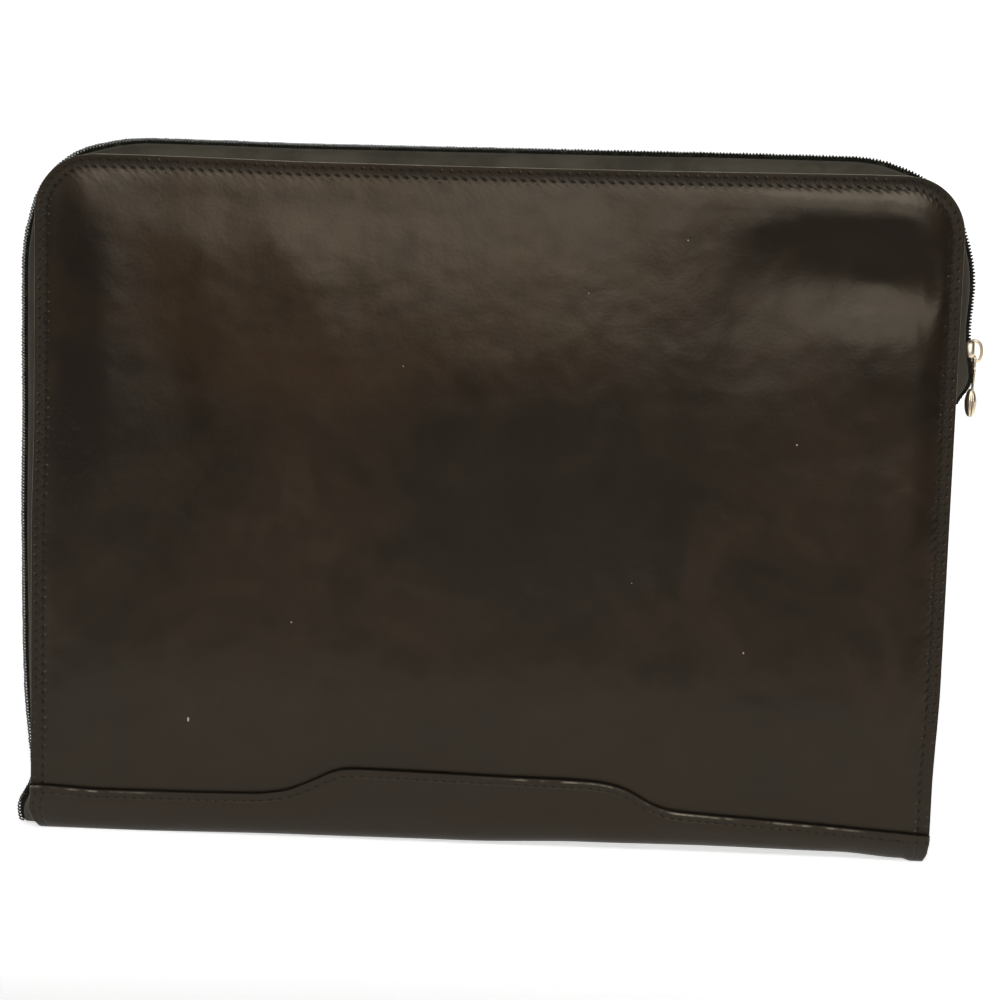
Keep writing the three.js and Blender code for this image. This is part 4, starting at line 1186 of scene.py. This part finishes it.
class MakeRunner(bpy.types.Operator):
    """Makes the slider and its puller in brass."""
    bl_idname = "case.make_runner"
    bl_label = "Slider and puller"

    def execute(self, context):
        look = material(polished_brass)
        slider = own_material(self.slider(), look)
        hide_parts("zip_slider")
        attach(slider, "case")
        puller = own_material(self.puller(), look)
        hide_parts("zip_puller")
        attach(puller, "puller")
        return {"FINISHED"}

    @staticmethod
    def tube(work, points, wide, deep, closed=False, taper=None, sides=12):
        """Adds a bar with a rounded section along points. wide is across the plane of Z, deep along X."""
        rings = []
        count = len(points)
        for i, point in enumerate(points):
            before = points[(i - 1) % count] if closed or i else point
            after = points[(i + 1) % count] if closed or i < count - 1 else point
            along = (after - before).normalized()
            axis = Vector((0, 1, 0)) if abs(along.y) < 1e-6 else Vector((1, 0, 0))
            across = axis if axis.y else along.cross(axis).normalized()
            out = across.cross(along).normalized()
            share = taper[i] if taper else 1
            turns = [2 * pi * k / sides for k in range(sides)]
            rings.append([work.verts.new(point + across * (wide * share * cos(a)) + out * (deep * sin(a)))
                          for a in turns])
        pairs = list(zip(rings, rings[1:] + rings[:1])) if closed else list(zip(rings, rings[1:]))
        for first, second in pairs:
            for k in range(sides):
                after = (k + 1) % sides
                work.faces.new((first[k], first[after], second[after], second[k]))
        if not closed:
            work.faces.new(rings[0])
            work.faces.new(rings[-1][::-1])

    @staticmethod
    def settled(work, name, place):
        """A smooth object from a mesh at work, moved to its place."""
        bmesh.ops.recalc_face_normals(work, faces=work.faces)
        for vertex in work.verts:
            vertex.co += place
        mesh = bpy.data.meshes.new(name)
        work.to_mesh(mesh)
        work.free()
        mesh.shade_smooth()
        return new_object(name, mesh)

    @classmethod
    def slider(cls):
        """Two rounded plates over the coil, joined at the nose, and the bridge that holds the puller."""
        work = bmesh.new()
        crest = Vector((HINGE.x - 1.56 * MM, 0, SLIDER_HEIGHT))
        outline = [(-3.1, 4.1), (-0.5, 4.3), (2.2, 3.6), (4.1, 2.9)]
        for low, high in ((-2.2, 1.15), (-5.4, -3.8)):
            levels = [
                (low, 0.86), (low + 0.25, 0.97), ((low + high) / 2, 1.0), (high - 0.35, 0.95), (high, 0.78)]
            rings = []
            for x, share in levels:
                ring = []
                for i in range(36):
                    turn = 2 * pi * i / 36
                    up = 0.7 + 3.7 * share * abs(sin(turn)) ** 0.5 * (1 if sin(turn) > 0 else -1)
                    half = float(np.interp(up, *zip(*outline)))
                    across = half * share * abs(cos(turn)) ** 0.5 * (1 if cos(turn) > 0 else -1)
                    ring.append(work.verts.new((x * MM, across * MM, up * MM)))
                rings.append(ring)
            for first, second in zip(rings, rings[1:]):
                for k in range(36):
                    work.faces.new((first[k], first[(k + 1) % 36], second[(k + 1) % 36], second[k]))
            work.faces.new(rings[0])
            work.faces.new(rings[-1][::-1])
        nose = [Vector((x * MM, 0, 2.9 * MM)) for x in np.linspace(-4.2, 0.4, 8)]
        cls.tube(work, nose, 1.1 * MM, 0.7 * MM)
        corners = np.array([
            (0.2, 3.9), (2.3, 4.1), (3.8, 2.9), (4.3, 0.7), (4.35, -1.6), (3.8, -3.6), (2.6, -4.5), (0.9, -2.9),
        ])
        places = np.linspace(0, len(corners) - 1, 40)
        path = np.stack([np.interp(places, range(len(corners)), corners[:, i]) for i in (0, 1)], axis=1)
        for _ in range(14):
            path[1:-1] = (path[:-2] + path[1:-1] * 2 + path[2:]) / 4
        cls.tube(work, [Vector((x * MM, 0, z * MM)) for x, z in path], 1.0 * MM, 0.66 * MM)
        return cls.settled(work, "zip_slider_brass", crest)

    @classmethod
    def puller(cls):
        """An eye, a slim stem and a bead with a groove down its middle."""
        work = bmesh.new()
        eye_bar = 0.55 * MM
        eye_half = 2.25 * MM
        eye_low = -4.9 * MM
        corner = 1.2 * MM
        loop = []
        for centre_y, centre_z, start in (
                (eye_half - corner, -corner, 0), (-eye_half + corner, -corner, 90),
                (-eye_half + corner, eye_low + corner, 180), (eye_half - corner, eye_low + corner, 270)):
            for k in range(6):
                angle = radians(start + 90 * k / 5)
                loop.append(Vector((0, centre_y + corner * cos(angle), centre_z + corner * sin(angle))))
        cls.tube(work, loop, eye_bar, 0.6 * MM, True)
        stem_end = -15 * MM
        spine, widths = [], []
        for k in range(15):
            t = k / 14
            spine.append(Vector((0.35 * MM - BEAD_SHIFT * t, 0, mixed(eye_low, stem_end, t))))
            widths.append(mixed(1.0, 1.6, t))
        cls.tube(work, spine, 1.2 * MM, 0.6 * MM, False, widths)
        bead_top, bead_low = -12.9 * MM, -24.4 * MM
        rings, sides = 28, 40
        grid = []
        for i in range(1, rings):
            turn = pi * i / rings
            share = (1 - cos(turn)) / 2
            z = mixed(bead_top, bead_low, share)
            swell = sin(turn) ** 0.8 * mixed(0.85, 1.0, smooth(share * 1.6))
            row = []
            for k in range(sides):
                angle = 2 * pi * k / sides
                x, y = cos(angle), sin(angle)
                groove = 1 - 0.3 * np.exp(-((x / 0.13) ** 2))
                step = 0.94 if share > 0.45 else 1.0
                wide = 2.55 * MM * swell * groove * step
                deep = 3.3 * MM * swell * groove * step
                row.append(work.verts.new((x * wide - BEAD_SHIFT, y * deep, z)))
            grid.append(row)
        for first, second in zip(grid, grid[1:]):
            for k in range(sides):
                work.faces.new((first[k], second[k], second[(k + 1) % sides], first[(k + 1) % sides]))
        for row, height in ((grid[0], bead_top), (grid[-1], bead_low)):
            pole = work.verts.new((-BEAD_SHIFT, 0, height))
            for k in range(sides):
                work.faces.new((row[k], row[(k + 1) % sides], pole))
        return cls.settled(work, "zip_puller_brass", HINGE)


# The camera, fitted to the photograph's frame.
CAMERA_DISTANCE = 1.1
CAMERA_AZIMUTH = 2.2
CAMERA_ELEVATION = 8.8
CAMERA_ROLL = 1.67
CAMERA_TARGET = Vector((CENTRE + 3.9 * MM, 0, 141 * MM))
FOCAL_SHARE = 2.725  # of the frame's width

# Soft lights: where each stands, what it faces, its width and height in metres, how far its light fans out in
# degrees, and its brightness.
LIGHTS = {
    "overhead": ((0.1, -1.25, 1.2), (0, 0, 0.2), (1.7, 0.6), 70, 8.0),
    "left_front": ((-1.6, -1.4, 0.6), (0, 0, 0.15), (0.7, 1.0), 60, 1.2),
    "front": ((0.1, -2.4, 0.72), (0, 0, 0.16), (1.5, 0.8), 50, 4.8),
    "backdrop": ((0, 0.9, 2.4), (0, 3.0, 0.5), (3.0, 0.8), 140, 3.0),
}
FLOOR_GLOW = 0.64
FLOOR_FADE = (-0.44, -0.14)  # Y where the floor in front of the case stops being dark, and where it is pale


class MakeStage(bpy.types.Operator):
    """Sets the pale floor, the soft lights and the camera."""
    bl_idname = "case.make_stage"
    bl_label = "Stage"

    def execute(self, context):
        self.camera(context)
        for name, row in LIGHTS.items():
            self.light(name, *row)
        floor = self.sweep()
        self.surroundings(context)
        return {"FINISHED"}

    @staticmethod
    def camera(context):
        """The camera at the photograph's angle."""
        azimuth, elevation, roll = (radians(a) for a in (CAMERA_AZIMUTH, CAMERA_ELEVATION, CAMERA_ROLL))
        back = Vector((sin(azimuth) * cos(elevation), -cos(azimuth) * cos(elevation), sin(elevation)))
        right = Vector((cos(azimuth), sin(azimuth), 0))
        up = back.cross(right)
        turned_right = right * cos(roll) + up * sin(roll)
        turned_up = back.cross(turned_right)
        data = bpy.data.cameras.new("camera")
        data.sensor_fit = "HORIZONTAL"
        data.sensor_width = 36
        data.lens = data.sensor_width * FOCAL_SHARE
        data.clip_start = 0.01
        camera = new_object("camera", data)
        turn = Matrix((turned_right, turned_up, back)).transposed().to_4x4()
        camera.matrix_world = Matrix.Translation(CAMERA_TARGET + back * CAMERA_DISTANCE) @ turn
        context.scene.camera = camera

    @staticmethod
    def light(name, place, aim, size, fan, bright):
        """One soft box."""
        data = bpy.data.lights.new(name, "AREA")
        data.shape = "RECTANGLE"
        data.size, data.size_y = size
        half_fan = radians(fan) / 2
        data.spread = 2 * half_fan
        data.energy = bright * pi * data.size * data.size_y * (1 - half_fan / tan(half_fan))
        lamp = new_object(name, data)
        place = Vector(place)
        facing = (Vector(aim) - place).to_track_quat("-Z", "Y")
        lamp.matrix_world = Matrix.Translation(place) @ facing.to_matrix().to_4x4()
        lamp.visible_camera = False

    @staticmethod
    def sweep():
        """The floor, which curves up into a backdrop well behind the case. It glows as painted light: pale
        around and behind the case, and dark in front of it.
        """
        bend, far, near, tall, half = 0.9, 3.2, -4.5, 3.4, 5.0
        line = [(near, 0.0), (far - bend, 0.0)]
        line += [(far - bend + bend * sin(a), bend - bend * cos(a)) for a in np.linspace(0, pi / 2, 24)[1:]]
        line.append((far, tall))
        points = [(x, y, z) for x in (-half, half) for y, z in line]
        count = len(line)
        faces = [(i, count + i, count + i + 1, i + 1) for i in range(count - 1)]
        mesh = bpy.data.meshes.new("floor")
        mesh.from_pydata(points, [], faces)
        mesh.shade_smooth()
        look = Look("glowing_floor")
        # Painted light: the floor's glow and its colour are pale near and behind the case, and dark in front of
        # it.
        pale = look.position()[1].step(*FLOOR_FADE)
        glow = look.blend(pale, (0.05, 0.05, 0.05), (1, 1, 1))
        look.join(glow, look.shader.inputs["Emission Color"])
        paper = look.blend(pale, (0.5, 0.46, 0.41), (0.9, 0.9, 0.9))
        mesh.materials.append(look.finish(paper, 0.9, Specular_IOR_Level=0.1,
                                          Emission_Strength=FLOOR_GLOW))
        return new_object("floor", mesh)

    @staticmethod
    def surroundings(context):
        """A pale, even room."""
        world = bpy.data.worlds.new("room")
        context.scene.world = world
        world.use_nodes = True
        back = world.node_tree.nodes["Background"]
        back.inputs["Color"].default_value = (1, 1, 1, 1)
        back.inputs["Strength"].default_value = 0.05
        context.scene.view_settings.view_transform = "Standard"


class CasePanel(bpy.types.Panel):
    """Lists the steps that make the case."""
    bl_idname = "CASE_PT_steps"
    bl_label = "Document Case"
    bl_space_type = "VIEW_3D"
    bl_region_type = "UI"
    bl_category = "Case"

    def draw(self, context):
        for group in (context.scene.case_sizes, context.scene.case_colours):
            for name in group.__annotations__:
                self.layout.prop(group, name)
        for step in STEPS:
            self.layout.operator(step.bl_idname)


STEPS = (MakeStage, MakePanels, MakeBand, MakeGussets, MakeStitches, MakeCoil, MakeRunner)
CLASSES = (CaseColours, CaseSizes, *STEPS, CasePanel)


def register():
    """Registers the classes and hangs the settings on the scene."""
    for kind in CLASSES:
        bpy.utils.register_class(kind)
    bpy.types.Scene.case_colours = bpy.props.PointerProperty(type=CaseColours)
    bpy.types.Scene.case_sizes = bpy.props.PointerProperty(type=CaseSizes)


def unregister():
    """Takes away what register added."""
    del bpy.types.Scene.case_sizes
    del bpy.types.Scene.case_colours
    for kind in reversed(CLASSES):
        bpy.utils.unregister_class(kind)


def main():
    """Makes the whole case."""
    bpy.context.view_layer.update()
    register()
    for step in STEPS:
        group, name = step.bl_idname.split(".")
        getattr(getattr(bpy.ops, group), name)()


if __name__ == "__main__":
    main()
